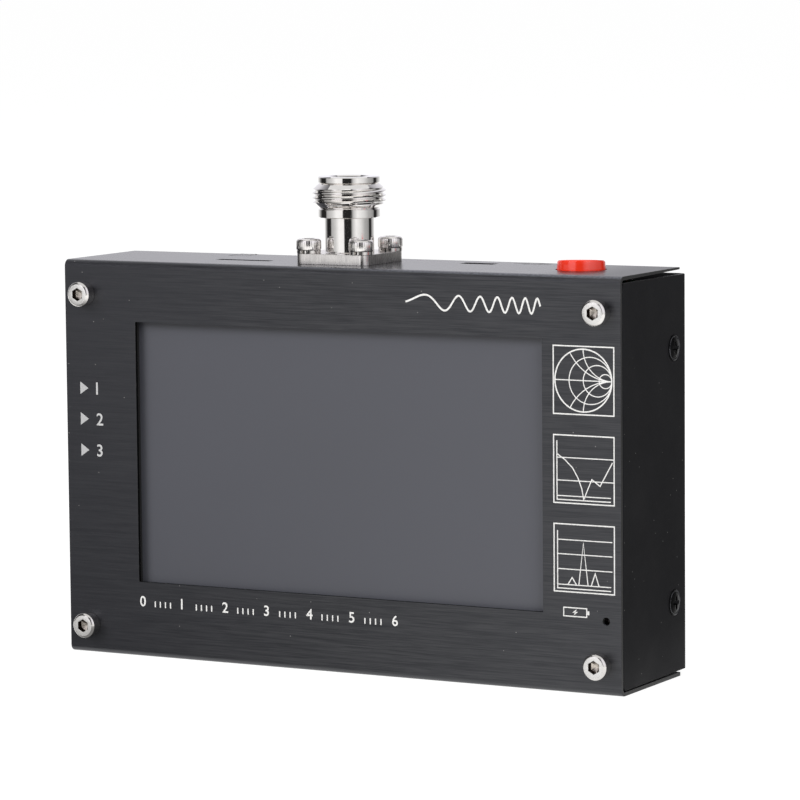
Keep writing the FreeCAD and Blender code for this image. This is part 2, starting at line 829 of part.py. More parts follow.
def display_board():
    """Board behind the screen."""
    return board(display_board_depth, [(x, z, lead_hole_diameter) for x, z in light_lead_places()])


def main_board():
    """Board with the measuring circuit, the switch and the power supply."""
    holes = [(x, z, pin_hole_diameter) for x, z in header_places() + terminal_places()]
    return board(main_board_depth, holes)


def chip(x, z, width, length, height, leads, seat, way, lead_sides=("x",)):
    """Chip on a board face at depth seat, standing off towards way, with rows of leads."""
    def slab(x, z, width, length, low, high):
        depths = sorted((seat + way * low, seat + way * high))
        return block(x, depths[0], z, width, depths[1] - depths[0], length)

    shapes = [slab(x, z, width, length, lead_thickness / 2, height)]
    for along_z in [side == "x" for side in lead_sides]:
        across = width if along_z else length
        run = length if along_z else width
        pitch = run / (leads + 1)
        for side in (-1, 1):
            for index in range(leads):
                shift = (index + 1) * pitch - run / 2
                foot = side * (across / 2 + lead_length / 2 - lead_thickness)
                rise = side * (across / 2 + lead_thickness / 2)
                for offset, reach, low, high in (
                        (foot, lead_length + lead_thickness, 0, lead_thickness),
                        (rise, 2 * lead_thickness, 0, height * 0.6)):
                    if along_z:
                        shapes.append(slab(x + offset, z + shift, reach, lead_width, low, high))
                    else:
                        shapes.append(slab(x + shift, z + offset, lead_width, reach, low, high))
    return fused(shapes)


def chip_parts(x, z, columns, height, seat, way):
    """Row of small two-ended parts on a board face."""
    parts = []
    for column in range(columns):
        depth = min(seat, seat + way * height)
        place = x + column * chip_part_pitch
        parts.append(block(place, depth, z, chip_part_width, height, chip_part_length))
    return parts


def header_socket():
    """Black socket strip on the display board."""
    body = block(header_x, display_board_rear, header_z, header_column_count * header_pitch,
                 header_socket_height, header_row_count * header_pitch)
    hole = header_pin_size + 2 * header_hole_play
    front = display_board_rear + header_socket_height - header_pin_overlap - header_hole_play
    holes = [block(x, front, z, hole, case_depth, hole) for x, z in header_places()]
    return cut_all(body, holes)


def header_pins():
    """Pin strip on the main board; the pins go through the board and into the socket."""
    seat = display_board_rear + header_socket_height
    strip = block(header_x, seat, header_z, header_column_count * header_pitch, main_board_depth - seat,
                  header_row_count * header_pitch)
    front = seat - header_pin_overlap
    length = main_board_rear + pin_tail - front
    pins = [block(x, front, z, header_pin_size, length, header_pin_size) for x, z in header_places()]
    return fused([strip] + pins)


def card_socket_parts():
    """Steel shell and plastic base of the memory card socket, open at the top."""
    top = inner_top_z - socket_top_gap
    bottom = top - card_socket_length
    half = card_slot_width / 2
    rear = display_board_rear + card_socket_height
    outer = box(card_slot_x - half, card_slot_x + half, display_board_rear, rear, bottom, top)
    inside = box(card_slot_x - half + card_socket_wall, card_slot_x + half - card_socket_wall,
                 display_board_rear - overcut, rear - card_socket_wall, bottom + card_socket_wall,
                 top + overcut)
    shell = outer.cut(inside)
    base = outer.common(inside)
    slot_rear = rear - card_socket_wall
    card = box(card_slot_x - card_width / 2, card_slot_x + card_width / 2, slot_rear - card_gap,
               slot_rear, top - card_depth, top + overcut)
    return shell, base.cut(card)


def usb_parts():
    """Steel shell and plastic tongue of the USB socket, open at the top."""
    top = inner_top_z - socket_top_gap
    bottom = top - usb_length
    outer = block(usb_slot_x, main_board_rear, (top + bottom) / 2, usb_width, usb_height, usb_length)
    inside = block(usb_slot_x, main_board_rear + usb_wall, (top + bottom) / 2, usb_width - 2 * usb_wall,
                   usb_height - 2 * usb_wall, 2 * usb_length)
    shell = outer.cut(inside)
    back = outer.common(inside).common(
        box(-case_width, case_width, 0, case_depth, bottom, bottom + usb_back_wall))
    tongue = box(usb_slot_x - usb_tongue_width / 2, usb_slot_x + usb_tongue_width / 2,
                 usb_slot_depth - usb_tongue_thickness / 2, usb_slot_depth + usb_tongue_thickness / 2,
                 bottom, bottom + usb_tongue_length)
    return shell, fused([back, tongue])


def shield_frame():
    """Steel wall around the measuring circuit."""
    depth = main_board_depth - shield_depth
    wall = block(shield_x, depth, shield_z, shield_width, shield_depth, shield_height)
    inside = block(shield_x, 0, shield_z, shield_width - 2 * shield_wall, case_depth,
                   shield_height - 2 * shield_wall)
    return wall.cut(inside)


def shield_cover():
    """Lid that clips over the shield's wall."""
    grow = 2 * (shield_play + shield_wall)
    front = main_board_depth - shield_depth - shield_wall
    lid = block(shield_x, front, shield_z, shield_width + grow, shield_cover_lip + shield_wall,
                shield_height + grow)
    inside = block(shield_x, front + shield_wall, shield_z, shield_width + 2 * shield_play, case_depth,
                   shield_height + 2 * shield_play)
    return lid.cut(inside)


# ------------------------------------------------------------------ power button
def square(x, depth, size, z0, z1):
    """Upright square bar."""
    half = size / 2
    return box(x - half, x + half, depth - half, depth + half, z0, z1)


def button_cap():
    """Red cap, a little narrower at the top, with a square socket for the stem."""
    wide = button_diameter / 2
    narrow = button_top_diameter / 2
    top = top_z + button_proud
    bottom = top_z - button_skirt
    cap = lathe(button_x, switch_depth, [
        (0, bottom), (wide, bottom), (wide, top_z), (narrow, top - button_edge),
        (narrow - button_edge * 0.3, top - button_edge * 0.3), (narrow - button_edge, top), (0, top)])
    return cap.cut(square(button_x, switch_depth, switch_stem, bottom, bottom + stem_grip))


def switch_inside():
    """Heights of the cavity's floor and roof and of the plunger's foot."""
    floor = switch_bottom_z + switch_floor
    roof = switch_top_z - switch_roof
    foot_top = roof - switch_foot_gap
    return floor, roof, foot_top - switch_foot_height, foot_top


def switch_body():
    """Switch housing with a square cavity and a square hole for the stem."""
    floor, roof, _, _ = switch_inside()
    housing = square(button_x, switch_depth, switch_size, switch_bottom_z, switch_top_z)
    cavity = square(button_x, switch_depth, switch_size - 2 * switch_wall, floor, roof)
    hole = square(button_x, switch_depth, switch_stem + 2 * switch_stem_play, floor, top_z)
    return cut_all(housing, [cavity.fuse(hole)])


def switch_plunger():
    """Stem with a wider foot that the spring pushes up."""
    _, _, foot_bottom, foot_top = switch_inside()
    foot = square(button_x, switch_depth, switch_foot, foot_bottom, foot_top)
    stem = square(button_x, switch_depth, switch_stem, foot_bottom, top_z - button_skirt + stem_grip)
    return fused([foot, stem])


def switch_spring():
    """Coil spring of faceted wire between the cavity's floor and the plunger's foot."""
    floor, _, foot_bottom, _ = switch_inside()
    radius = (spring_diameter - spring_wire) / 2
    low = floor + spring_wire / 2 + spring_end_gap
    height = foot_bottom - floor - spring_wire - 2 * spring_end_gap
    path = Part.makeHelix(height / spring_coil_count, height, radius)
    ring = [Vec(u, 0, v) for u, v in regular_corners(radius, 0, spring_wire, spring_wire_sides)]
    coil = Part.Wire(path.Edges).makePipeShell([Part.makePolygon(ring + ring[:1])], True, True)
    coil.translate(point("z", low, button_x, switch_depth))
    return coil


def switch_terminals():
    """Six pins from the switch through the main board."""
    end = main_board_rear + pin_tail
    return [rod("y", main_board_depth, end, x, z, terminal_size) for x, z in terminal_places()]


# ------------------------------------------------------------------ charge light
def charge_light():
    """Small lamp with a domed tip behind its hole in the front; its collar sits behind the bracket."""
    collar = flange_depth
    radius = light_lens_diameter / 2
    tip = sheet + light_front_gap + radius
    base = rod("y", collar, collar + light_collar_length, light_x, light_z, light_collar_diameter)
    lens = rod("y", tip, collar, light_x, light_z, light_lens_diameter)
    dome = Part.makeSphere(radius, point("y", tip, light_x, light_z))
    return fused([base, lens, dome])


def charge_light_leads():
    """Two leads from the lamp through the display board."""
    start = flange_depth + light_collar_length
    end = display_board_rear + pin_tail
    return [rod("y", start, end, x, z, light_lead_diameter) for x, z in light_lead_places()]


# ------------------------------------------------------------------ battery
def battery_cell():
    """Pouch cell with rounded long edges."""
    rear = battery_depth + battery_thickness
    half = battery_width / 2
    left = battery_x - half
    right = battery_x + half
    section = [(left, battery_depth, battery_edge), (right, battery_depth, battery_edge),
               (right, rear, battery_edge), (left, rear, battery_edge)]
    return prism("z", battery_bottom_z, battery_bottom_z + battery_height, section)


def battery_tape():
    """Double-sided tape between the cell and the back."""
    z = battery_bottom_z + battery_height / 2
    return block(battery_x, back_depth - tape_thickness, z, tape_width, tape_thickness, tape_height)


def protection_place():
    """Right-hand end and middle depth and height of the protection board."""
    return battery_x + protection_width / 2, battery_depth + battery_thickness / 2, battery_lead_z


def protection_board():
    """Small circuit on top of the cell."""
    right, depth, z = protection_place()
    return block(right - protection_width / 2, depth - protection_thickness / 2, z, protection_width,
                 protection_thickness, protection_height)


def battery_plug_section(margin):
    """Width and height of the battery plug, or of the hole around it."""
    width = battery_socket_width - 2 * battery_plug_wall - 2 * battery_plug_play + 2 * margin
    height = battery_socket_height - 2 * battery_plug_wall - 2 * battery_plug_play + 2 * margin
    return width, height


def battery_socket():
    """Shrouded socket on the rear of the main board, open to the left."""
    body = block(battery_socket_x, main_board_rear, battery_lead_z, battery_socket_length,
                 battery_socket_height, battery_socket_width)
    width, height = battery_plug_section(battery_plug_play)
    left = battery_socket_x - battery_socket_length / 2
    depth = main_board_rear + battery_socket_height / 2 - height / 2
    end = left + battery_plug_inset
    hole = box(left - overcut, end, depth, depth + height, battery_lead_z - width / 2,
               battery_lead_z + width / 2)
    return body.cut(hole)


def battery_plug():
    """Plug in the battery socket."""
    width, height = battery_plug_section(0)
    end = battery_socket_x - battery_socket_length / 2 + battery_plug_inset
    depth = main_board_rear + battery_socket_height / 2 - height / 2
    return box(end - battery_plug_length, end, depth, depth + height, battery_lead_z - width / 2,
               battery_lead_z + width / 2)


def battery_lead(side):
    """One of the two leads from the protection board to the plug."""
    shift = side * battery_lead_spacing / 2
    start, start_depth, start_z = protection_place()
    end = battery_socket_x - battery_socket_length / 2 + battery_plug_inset - battery_plug_length
    end_depth = main_board_rear + battery_socket_height / 2
    return bent_rod([
        (start, start_depth, start_z + shift),
        (start + battery_lead_straight, start_depth, start_z + shift),
        (end - battery_lead_straight, end_depth, battery_lead_z + shift),
        (end, end_depth, battery_lead_z + shift)], battery_lead_diameter)


# ------------------------------------------------------------------ N-type socket
def flange_screw_places():
    """Centres of the four holes of the flange."""
    half = socket_hole_spacing / 2
    return [(socket_x + side * half, socket_depth + rear * half) for side, rear in flange_hole_offsets]


def thread_profile():
    """Crests and roots of the thread, from the lower end up, as (radius, z)."""
    crest = thread_diameter / 2
    root = crest - thread_depth
    slope = thread_pitch / 2 - thread_flat
    profile = []
    z = top_z + thread_start
    for _ in range(crest_count):
        profile += [(root, z), (crest, z + slope), (crest, z + slope + thread_flat)]
        profile.append((root, z + 2 * slope + thread_flat))
        z += thread_pitch
    return profile


def socket_body():
    """Flange, barrel, collar, thread and rim, bored for the insulator and the plug."""
    half = socket_flange / 2
    corner = socket_flange_corner
    square_corners = [(socket_x + i * half, socket_depth + j * half, corner)
                      for i, j in ((-1, -1), (1, -1), (1, 1), (-1, 1))]
    flange_top = top_z + socket_flange_thickness
    flange = prism("z", top_z, flange_top, square_corners)
    barrel = barrel_diameter / 2
    collar = collar_diameter / 2
    rim_top = top_z + rim_height
    rim_bottom = rim_top - rim_length
    thread = thread_profile()
    profile = [(0, flange_top), (barrel, flange_top), (barrel, top_z + collar_bottom),
               (collar, top_z + collar_bottom), (collar, top_z + collar_top),
               (neck_diameter / 2, top_z + collar_top), (neck_diameter / 2, top_z + collar_top + neck_length)]
    profile += thread
    profile += [(collar, rim_bottom), (collar, rim_top - rim_bevel), (collar - rim_bevel, rim_top)]
    profile.append((0, rim_top))
    barrel_solid = lathe(socket_x, socket_depth, profile)
    mouth = mouth_diameter / 2
    bore = lathe(socket_x, socket_depth, [
        (0, top_z - overcut), (insulator_step / 2, top_z - overcut),
        (insulator_step / 2, top_z + contact_seat),
        (insulator_diameter / 2, top_z + contact_seat), (insulator_diameter / 2, rim_top - mouth_depth),
        (mouth, rim_top - mouth_depth), (mouth, rim_top - rim_bevel), (mouth + rim_bevel, rim_top),
        (mouth + rim_bevel, rim_top + overcut), (0, rim_top + overcut)])
    tools = [bore]
    tools += [rod("z", top_z - overcut, flange_top + overcut, x, depth, clearance_diameter)
              for x, depth in flange_screw_places()]
    return cut_all(fused([flange, barrel_solid]), tools)


def socket_insulator():
    """White sleeve around the contact, with a tail through the top sheet."""
    top = top_z + rim_height - mouth_depth
    seat = top_z + contact_seat
    step = insulator_step / 2
    outer = insulator_diameter / 2
    neck = contact_neck / 2
    contact = contact_diameter / 2
    tail = top_z - insulator_tail
    return lathe(socket_x, socket_depth, [
        (neck, tail), (step, tail), (step, seat), (outer, seat), (outer, top), (contact, top),
        (contact, seat), (neck, seat)])


def socket_contact():
    """Slotted centre contact with a solder cup at its lower end."""
    contact = contact_diameter / 2
    neck = contact_neck / 2
    cup = solder_cup_diameter / 2
    tail = top_z - insulator_tail
    seat = top_z + contact_seat
    pin = lathe(socket_x, socket_depth, [
        (0, solder_cup_bottom_z), (cup, solder_cup_bottom_z), (cup, tail), (neck, tail), (neck, seat),
        (contact, seat), (contact, contact_top_z - contact_bevel), (contact - contact_bevel, contact_top_z),
        (0, contact_top_z)])
    above = contact_top_z + overcut
    tools = [rod("z", contact_top_z - contact_bore_depth, above, socket_x, socket_depth, contact_bore)]
    tools.append(rod("z", solder_cup_bottom_z - overcut, solder_cup_bottom_z + solder_cup_bore_depth,
                     socket_x, socket_depth, solder_cup_bore))
    low = contact_top_z - contact_slot_length
    half = contact_slot / 2
    tools.append(box(socket_x - half, socket_x + half, socket_depth - contact_diameter,
                     socket_depth + contact_diameter, low, above))
    tools.append(box(socket_x - contact_diameter, socket_x + contact_diameter, socket_depth - half,
                     socket_depth + half, low, above))
    return cut_all(pin, tools)


def flange_screws():
    """Four screws, heads up, on their washers."""
    seat = top_z + socket_flange_thickness + washer_thickness
    return [aimed(flange_screw(), "z", 1, seat, x, depth) for x, depth in flange_screw_places()]


def flange_washers():
    """Split lock washers."""
    low = top_z + socket_flange_thickness
    rings = []
    for x, depth in flange_screw_places():
        high = low + washer_thickness
        ring = rod("z", low, high, x, depth, washer_diameter)
        hole = rod("z", low - overcut, high + overcut, x, depth, washer_bore)
        split = box(x - washer_split / 2, x + washer_split / 2, depth - washer_diameter, depth,
                    low - overcut, high + overcut)
        rings.append(cut_all(ring, [hole.fuse(split)]))
    return rings


def flange_nuts():
    """Hexagon nuts under the top sheet."""
    nuts = []
    low = inner_top_z - nut_height
    for x, depth in flange_screw_places():
        nut = prism("z", low, inner_top_z, regular_corners(x, depth, nut_across_flats, 6))
        hole = rod("z", low - overcut, inner_top_z + overcut, x, depth, bore_diameter)
        nuts.append(nut.cut(hole))
    return nuts


def feed_wire():
    """Wire from the solder cup to the main board."""
    start = solder_cup_bottom_z + solder_cup_bore_depth
    bend = solder_cup_bottom_z - feed_drop
    last_bend_depth = main_board_depth - feed_run
    end = bend - (last_bend_depth - socket_depth)
    return bent_rod([(socket_x, socket_depth, start), (socket_x, socket_depth, bend),
                     (socket_x, last_bend_depth, end), (socket_x, main_board_depth, end)], feed_diameter)


# ------------------------------------------------------------------ all nodes
card_shell, card_base = card_socket_parts()
usb_shell, usb_tongue = usb_parts()

nodes = {
    "front_shell": [front_shell()],
    "rear_shell": [rear_shell()],
    "bracket_left": [bracket(-1)],
    "bracket_right": [bracket(1)],
    "bracket_nuts": bracket_nuts(),
    "front_screws": front_screws(),
    "side_screws": side_screws(),
    "front_standoffs": front_standoffs(),
    "rear_standoffs": rear_standoffs(),
    "board_screws": board_screws(),
    "screen_gasket": [screen_gasket()],
    "touch_panel": [touch_panel()],
    "display_panel": [display_panel()],
    "display_frame": [display_frame()],
    "screen_pads": screen_pads(),
    "display_ribbon": [ribbon(display_ribbon_x, display_ribbon_width, display_depth + touch_thickness)],
    "display_ribbon_socket": [ribbon_socket(display_ribbon_x, display_ribbon_width)],
    "touch_ribbon": [ribbon(touch_ribbon_x, touch_ribbon_width, glass_depth + touch_thickness / 2)],
    "touch_ribbon_socket": [ribbon_socket(touch_ribbon_x, touch_ribbon_width)],
    "display_board": [display_board()],
    "processor_chip": [chip(processor_x, processor_z, processor_size, processor_size, processor_height,
                            processor_lead_count, display_board_rear, 1, ("x", "z"))],
    "memory_chip": [chip(memory_x, memory_z, memory_width, memory_length, memory_height,
                         memory_lead_count, display_board_rear, 1)],
    "header_socket": [header_socket()],
    "header_pins": [header_pins()],
    "card_socket_shell": [card_shell],
    "card_socket_base": [card_base],
    "main_board": [main_board()],
    "usb_socket_shell": [usb_shell],
    "usb_socket_tongue": [usb_tongue],
    "rf_shield_frame": [shield_frame()],
    "rf_shield_cover": [shield_cover()],
    "mixer_chips": [chip(x, z, mixer_width, mixer_length, mixer_height, mixer_lead_count,
                         main_board_depth, -1) for x, z in mixer_places],
    "clock_chip": [block(clock_x, main_board_depth - clock_height, clock_z, clock_size, clock_height,
                         clock_size)],
    "crystal": [block(crystal_x, main_board_depth - crystal_height, crystal_z, crystal_width,
                      crystal_height, crystal_length)],
    "power_inductor": [block(inductor_x, main_board_rear, inductor_z, inductor_size, inductor_height,
                             inductor_size)],
    "voltage_regulator": [chip(regulator_x, regulator_z, regulator_width, regulator_length,
                               regulator_height, regulator_lead_count, main_board_rear, 1)],
    "capacitors": chip_parts(chip_row_x, capacitor_row_z, capacitor_count, capacitor_height,
                             main_board_rear, 1),
    "resistors": chip_parts(chip_row_x, resistor_row_z, resistor_count, resistor_height,
                            main_board_rear, 1),
    "power_button_cap": [button_cap()],
    "power_switch_plunger": [switch_plunger()],
    "power_switch_body": [switch_body()],
    "power_switch_spring": [switch_spring()],
    "power_switch_terminals": switch_terminals(),
    "charge_light": [charge_light()],
    "charge_light_leads": charge_light_leads(),
    "battery_cell": [battery_cell()],
    "battery_tape": [battery_tape()],
    "battery_protection_board": [protection_board()],
    "battery_socket": [battery_socket()],
    "battery_plug": [battery_plug()],
    "battery_lead_red": [battery_lead(1)],
    "battery_lead_black": [battery_lead(-1)],
    "rf_socket_body": [socket_body()],
    "rf_socket_insulator": [socket_insulator()],
    "rf_socket_contact": [socket_contact()],
    "rf_feed_wire": [feed_wire()],
    "flange_screws": flange_screws(),
    "flange_washers": flange_washers(),
    "flange_nuts": flange_nuts(),
}

os.makedirs("parts", exist_ok=True)
for name, shapes in nodes.items():
    solids = [solid for shape in shapes for solid in shape.Solids]
    if not all(solid.isValid() for solid in solids) or len(solids) != len(shapes):
        raise ValueError(f"{name} has {len(solids)} solids for {len(shapes)} pieces")
    Part.makeCompound(solids).exportStep(f"parts/{name}.step")
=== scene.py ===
"""Looks of the handheld antenna analyzer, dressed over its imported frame.

Lengths are in millimetres, and MM turns them into metres. The studio's are in metres.
"""
import bmesh
import bpy
import json
import math
from mathutils import Matrix, Vector


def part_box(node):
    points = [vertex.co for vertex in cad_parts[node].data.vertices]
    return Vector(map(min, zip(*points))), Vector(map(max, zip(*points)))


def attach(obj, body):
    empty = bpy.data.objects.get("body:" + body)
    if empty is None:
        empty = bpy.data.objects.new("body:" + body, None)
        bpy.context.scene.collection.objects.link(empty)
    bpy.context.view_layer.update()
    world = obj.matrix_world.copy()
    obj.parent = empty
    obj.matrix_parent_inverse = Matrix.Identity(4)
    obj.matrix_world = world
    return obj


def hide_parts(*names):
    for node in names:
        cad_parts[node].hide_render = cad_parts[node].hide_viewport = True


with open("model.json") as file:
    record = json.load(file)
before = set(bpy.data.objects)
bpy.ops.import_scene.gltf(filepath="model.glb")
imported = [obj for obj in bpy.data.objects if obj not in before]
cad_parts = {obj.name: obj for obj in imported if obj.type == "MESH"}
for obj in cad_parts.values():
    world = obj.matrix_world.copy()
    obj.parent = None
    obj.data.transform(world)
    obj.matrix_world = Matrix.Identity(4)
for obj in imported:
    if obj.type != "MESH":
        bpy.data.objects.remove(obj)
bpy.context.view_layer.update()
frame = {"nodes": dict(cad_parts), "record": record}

MM = 0.001
TAU = 2 * math.pi


def corners_mm(node):
    """Lowest and highest corner of a CAD node."""
    low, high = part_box(node)
    return low / MM, high / MM


# -------- places taken from the frame
shell_low, shell_high = corners_mm("front_shell")
cover_low, cover_high = corners_mm("rear_shell")
front_y = shell_low.y
top_z = shell_high.z
socket_low, socket_high = corners_mm("rf_socket_body")
socket_x = (socket_low.x + socket_high.x) / 2
socket_y = (socket_low.y + socket_high.y) / 2


# -------- materials
class Surface:
    """Principled material whose textures are measured in millimetres on the object."""

    def __init__(self, name, colour, roughness, metallic=0.0, **sockets):
        self.material = bpy.data.materials.new(name)
        self.material.use_nodes = True
        self.tree = self.material.node_tree
        self.shader = self.tree.nodes["Principled BSDF"]
        self.shader.inputs["Base Color"].default_value = (*colour, 1)
        self.shader.inputs["Roughness"].default_value = roughness
        self.shader.inputs["Metallic"].default_value = metallic
        for socket, value in sockets.items():
            self.shader.inputs[socket.replace("_", " ")].default_value = value
        self.place = self.node("ShaderNodeTexCoord").outputs["Object"]

    def node(self, kind, settings=None, **inputs):
        """New node with its settings, and with its inputs set or linked."""
        made = self.tree.nodes.new(kind)
        for name, value in (settings or {}).items():
            setattr(made, name, value)
        for name, value in inputs.items():
            self.put(made.inputs[name.replace("_", " ")], value)
        return made

    def put(self, socket, value):
        """Links an output to a socket, or sets the socket."""
        if isinstance(value, bpy.types.NodeSocket):
            self.tree.links.new(value, socket)
        else:
            socket.default_value = value

    def scaled(self, per_mm):
        """Object coordinates with so many units to the millimetre: one number, or three for x, y and z."""
        scale = [value / MM for value in (per_mm if isinstance(per_mm, tuple) else (per_mm,) * 3)]
        return self.node("ShaderNodeMapping", Vector=self.place, Scale=scale).outputs["Vector"]

    def noise(self, per_mm, detail=2.0, roughness=0.5):
        """Noise of 0 to 1 with so many waves to the millimetre."""
        return self.node("ShaderNodeTexNoise", Vector=self.scaled(per_mm), Scale=1.0, Detail=detail,
                         Roughness=roughness).outputs["Fac"]

    def cells(self, per_mm, feature="F1"):
        """Distance inside scattered cells, so many to the millimetre."""
        return self.node("ShaderNodeTexVoronoi", {"feature": feature}, Vector=self.scaled(per_mm),
                         Scale=1.0).outputs["Distance"]

    def remap(self, value, low, high, out_low, out_high):
        """Value carried from one range to another and held inside it."""
        return self.node("ShaderNodeMapRange", Value=value, From_Min=low, From_Max=high,
                         To_Min=out_low, To_Max=out_high).outputs["Result"]

    def along_x(self, start, end, at_start, at_end):
        """Value that changes along x between two places in millimetres."""
        across = self.node("ShaderNodeSeparateXYZ", Vector=self.place).outputs["X"]
        return self.remap(across, start * MM, end * MM, at_start, at_end)

    def arithmetic(self, way, first, second):
        """Arithmetic on two values."""
        made = self.node("ShaderNodeMath", {"operation": way})
        self.put(made.inputs[0], first)
        self.put(made.inputs[1], second)
        return made.outputs["Value"]

    def add(self, first, second):
        """Sum of two values."""
        return self.arithmetic("ADD", first, second)

    def times(self, first, second):
        """Product of two values."""
        return self.arithmetic("MULTIPLY", first, second)

    def blend(self, factor, first, second):
        """Colour between two colours."""
        made = self.node("ShaderNodeMix", {"data_type": "RGBA"})
        self.put(made.inputs["Factor"], factor)
        first_socket, second_socket = made.inputs[6:8]  # the mix node's two colours
        for socket, colour in ((first_socket, first), (second_socket, second)):
            self.put(socket, colour if isinstance(colour, bpy.types.NodeSocket) else (*colour, 1))
        return made.outputs[2]  # its result as a colour

    def colour(self, value):
        """Sets the colour."""
        self.put(self.shader.inputs["Base Color"], value)

    def roughness(self, value):
        """Sets the roughness."""
        self.put(self.shader.inputs["Roughness"], value)

    def bump(self, height, depth, strength):
        """Relief of a depth in millimetres."""
        made = self.node("ShaderNodeBump", Strength=strength, Distance=depth * MM, Height=height)
        self.put(self.shader.inputs["Normal"], made.outputs["Normal"])


def anodised(name):
    """Black anodised aluminium, brushed along x, dusty, and with a painted highlight in specks along the
    top fold.
    """
    surface = Surface(name, (0.012, 0.012, 0.014), 0.38, Specular_IOR_Level=0.75,
                      Specular_Tint=(0.93, 0.95, 1, 1))
    # brushing, weaker towards the left
    fine = surface.noise((0.12, 6, 6), detail=3)
    broad = surface.noise((0.04, 2.2, 2.2), detail=2)
    patches = surface.noise((0.2, 0.6, 0.6), detail=2)
    streaks = surface.add(surface.times(fine, 0.6), surface.times(broad, 0.3))
    streaks = surface.add(streaks, surface.times(patches, 0.1))
    brushed = surface.blend(surface.remap(streaks, 0.39, 0.61, 0, 1),
                            (0.002, 0.002, 0.0035), (0.028, 0.028, 0.03))
    calm = surface.along_x(-62, 0, 0.7, 0)
    shade = surface.blend(calm, brushed, (0.014, 0.014, 0.0175))
    # dust and hairline scratches
    dust = surface.remap(surface.cells(0.3), 0.04, 0.024, 0, 1)
    scratch = surface.remap(surface.noise((0.3, 16, 16), detail=1), 0.74, 0.78, 0, 0.5)
    specks = surface.add(surface.times(dust, 0.7), surface.times(scratch, 0.14))
    dusty = surface.blend(specks, shade, (0.35, 0.34, 0.33))
    # painted highlight along the top fold, where the surface turns upwards, stronger to the right and
    # broken into specks
    upward = surface.node("ShaderNodeSeparateXYZ",
                          Vector=surface.node("ShaderNodeNewGeometry").outputs["Normal"]).outputs["Z"]
    band = surface.times(surface.remap(upward, 0.6, 0.8, 0, 1), surface.remap(upward, 0.96, 0.99, 1, 0))
    fold_sheen_painted = surface.times(band, surface.along_x(-45, 30, 0, 1))
    speckle = surface.remap(surface.noise((1.6, 2.2, 2.2), detail=3, roughness=0.7), 0.38, 0.62, 0.25, 1)
    surface.colour(surface.blend(surface.times(fold_sheen_painted, speckle), dusty, (0.1, 0.104, 0.125)))
    # roughness of the front, and of the top, which is rougher at the right
    flat = surface.remap(upward, 0.85, 0.98, 0, 1)
    rough = surface.remap(streaks, 0.3, 0.7, 0.34, 0.44)
    handled = surface.along_x(46, 62, 0.25, 0.37)
    surface.roughness(surface.node("ShaderNodeMix", Factor=flat, A=rough, B=handled).outputs["Result"])
    surface.bump(fine, 0.012, 0.5)
    return surface.material


def cut_edge(name, shade, gloss=0.35):
    """Sawn and blackened edge of a sheet."""
    surface = Surface(name, (shade, shade, shade), 0.5, Specular_IOR_Level=gloss)
    grain = surface.noise((1.2, 6, 6), detail=3)
    surface.colour(surface.blend(grain, (shade * 0.5,) * 3, (shade * 1.8,) * 3))
    surface.roughness(surface.remap(grain, 0.3, 0.7, 0.42, 0.6))
    surface.bump(grain, 0.02, 0.4)
    return surface.material


def worn_edge(name):
    """Black finish rubbed through to pale metal in dots along an edge."""
    surface = Surface(name, (0.05, 0.05, 0.052), 0.4, 0.3)
    rub = surface.remap(surface.noise(1.6, detail=4, roughness=0.7), 0.54, 0.62, 0, 1)
    surface.colour(surface.blend(rub, (0.04, 0.04, 0.043), (0.3, 0.29, 0.28)))
    surface.roughness(surface.remap(rub, 0, 1, 0.42, 0.3))
    return surface.material


def powder(name):
    """Matte black powder coat with a fine orange-peel grain and faint smudges."""
    surface = Surface(name, (0.013, 0.013, 0.014), 0.55, Specular_IOR_Level=0.06)
    grain = surface.noise(2.6, detail=3)
    smudge = surface.noise(0.07, detail=3)
    dust = surface.remap(surface.cells(0.4), 0.05, 0.02, 0, 0.5)
    shade = surface.blend(grain, (0.010, 0.010, 0.011), (0.016, 0.016, 0.0175))
    surface.colour(surface.blend(dust, shade, (0.5, 0.49, 0.47)))
    surface.roughness(surface.remap(smudge, 0.3, 0.7, 0.48, 0.62))
    surface.bump(grain, 0.03, 0.35)
    return surface.material


def screen_glass(name):
    """Anti-glare film over a dark panel: grey, with a fine sparkle."""
    surface = Surface(name, (0.062, 0.064, 0.074), 0.42, Specular_IOR_Level=0.8)
    sparkle = surface.noise(9, detail=1)
    cloud = surface.noise((0.02, 0.02, 0.03), detail=2)
    shade = surface.blend(cloud, (0.064, 0.066, 0.079), (0.071, 0.073, 0.088))
    surface.colour(surface.blend(surface.remap(sparkle, 0.45, 0.7, 0, 0.12), shade, (0.13, 0.13, 0.15)))
    surface.roughness(surface.remap(cloud, 0.3, 0.7, 0.39, 0.45))
    surface.bump(sparkle, 0.004, 0.3)
    return surface.material


def turned_steel(name, colour, roughness, per_mm=6, contrast=0.12, depth=0.004, metal=1.0):
    """Bare metal with fine tool marks and slight stains."""
    surface = Surface(name, colour, roughness, metal)
    marks = surface.noise(per_mm, detail=2)
    stain = surface.noise(0.5, detail=3)
    dull = [value * (1 - contrast) for value in colour]
    surface.colour(surface.blend(surface.remap(stain, 0.35, 0.7, 0, 1), colour, dull))
    surface.roughness(surface.remap(marks, 0.3, 0.7, roughness * 0.8, roughness * 1.3))
    surface.bump(marks, depth, 0.4)
    return surface.material


def plastic(name, colour, roughness, grain=0.01, **sockets):
    """Moulded plastic with a faint mould texture and uneven gloss."""
    surface = Surface(name, colour, roughness, **sockets)
    texture = surface.noise(4, detail=3)
    cloud = surface.noise(0.25, detail=2)
    pale = [min(1.0, value * 1.12) for value in colour]
    dark = [value * 0.88 for value in colour]
    surface.colour(surface.blend(cloud, dark, pale))
    surface.roughness(surface.remap(texture, 0.3, 0.7, roughness * 0.9, roughness * 1.15))
    surface.bump(texture, grain, 0.3)
    return surface.material


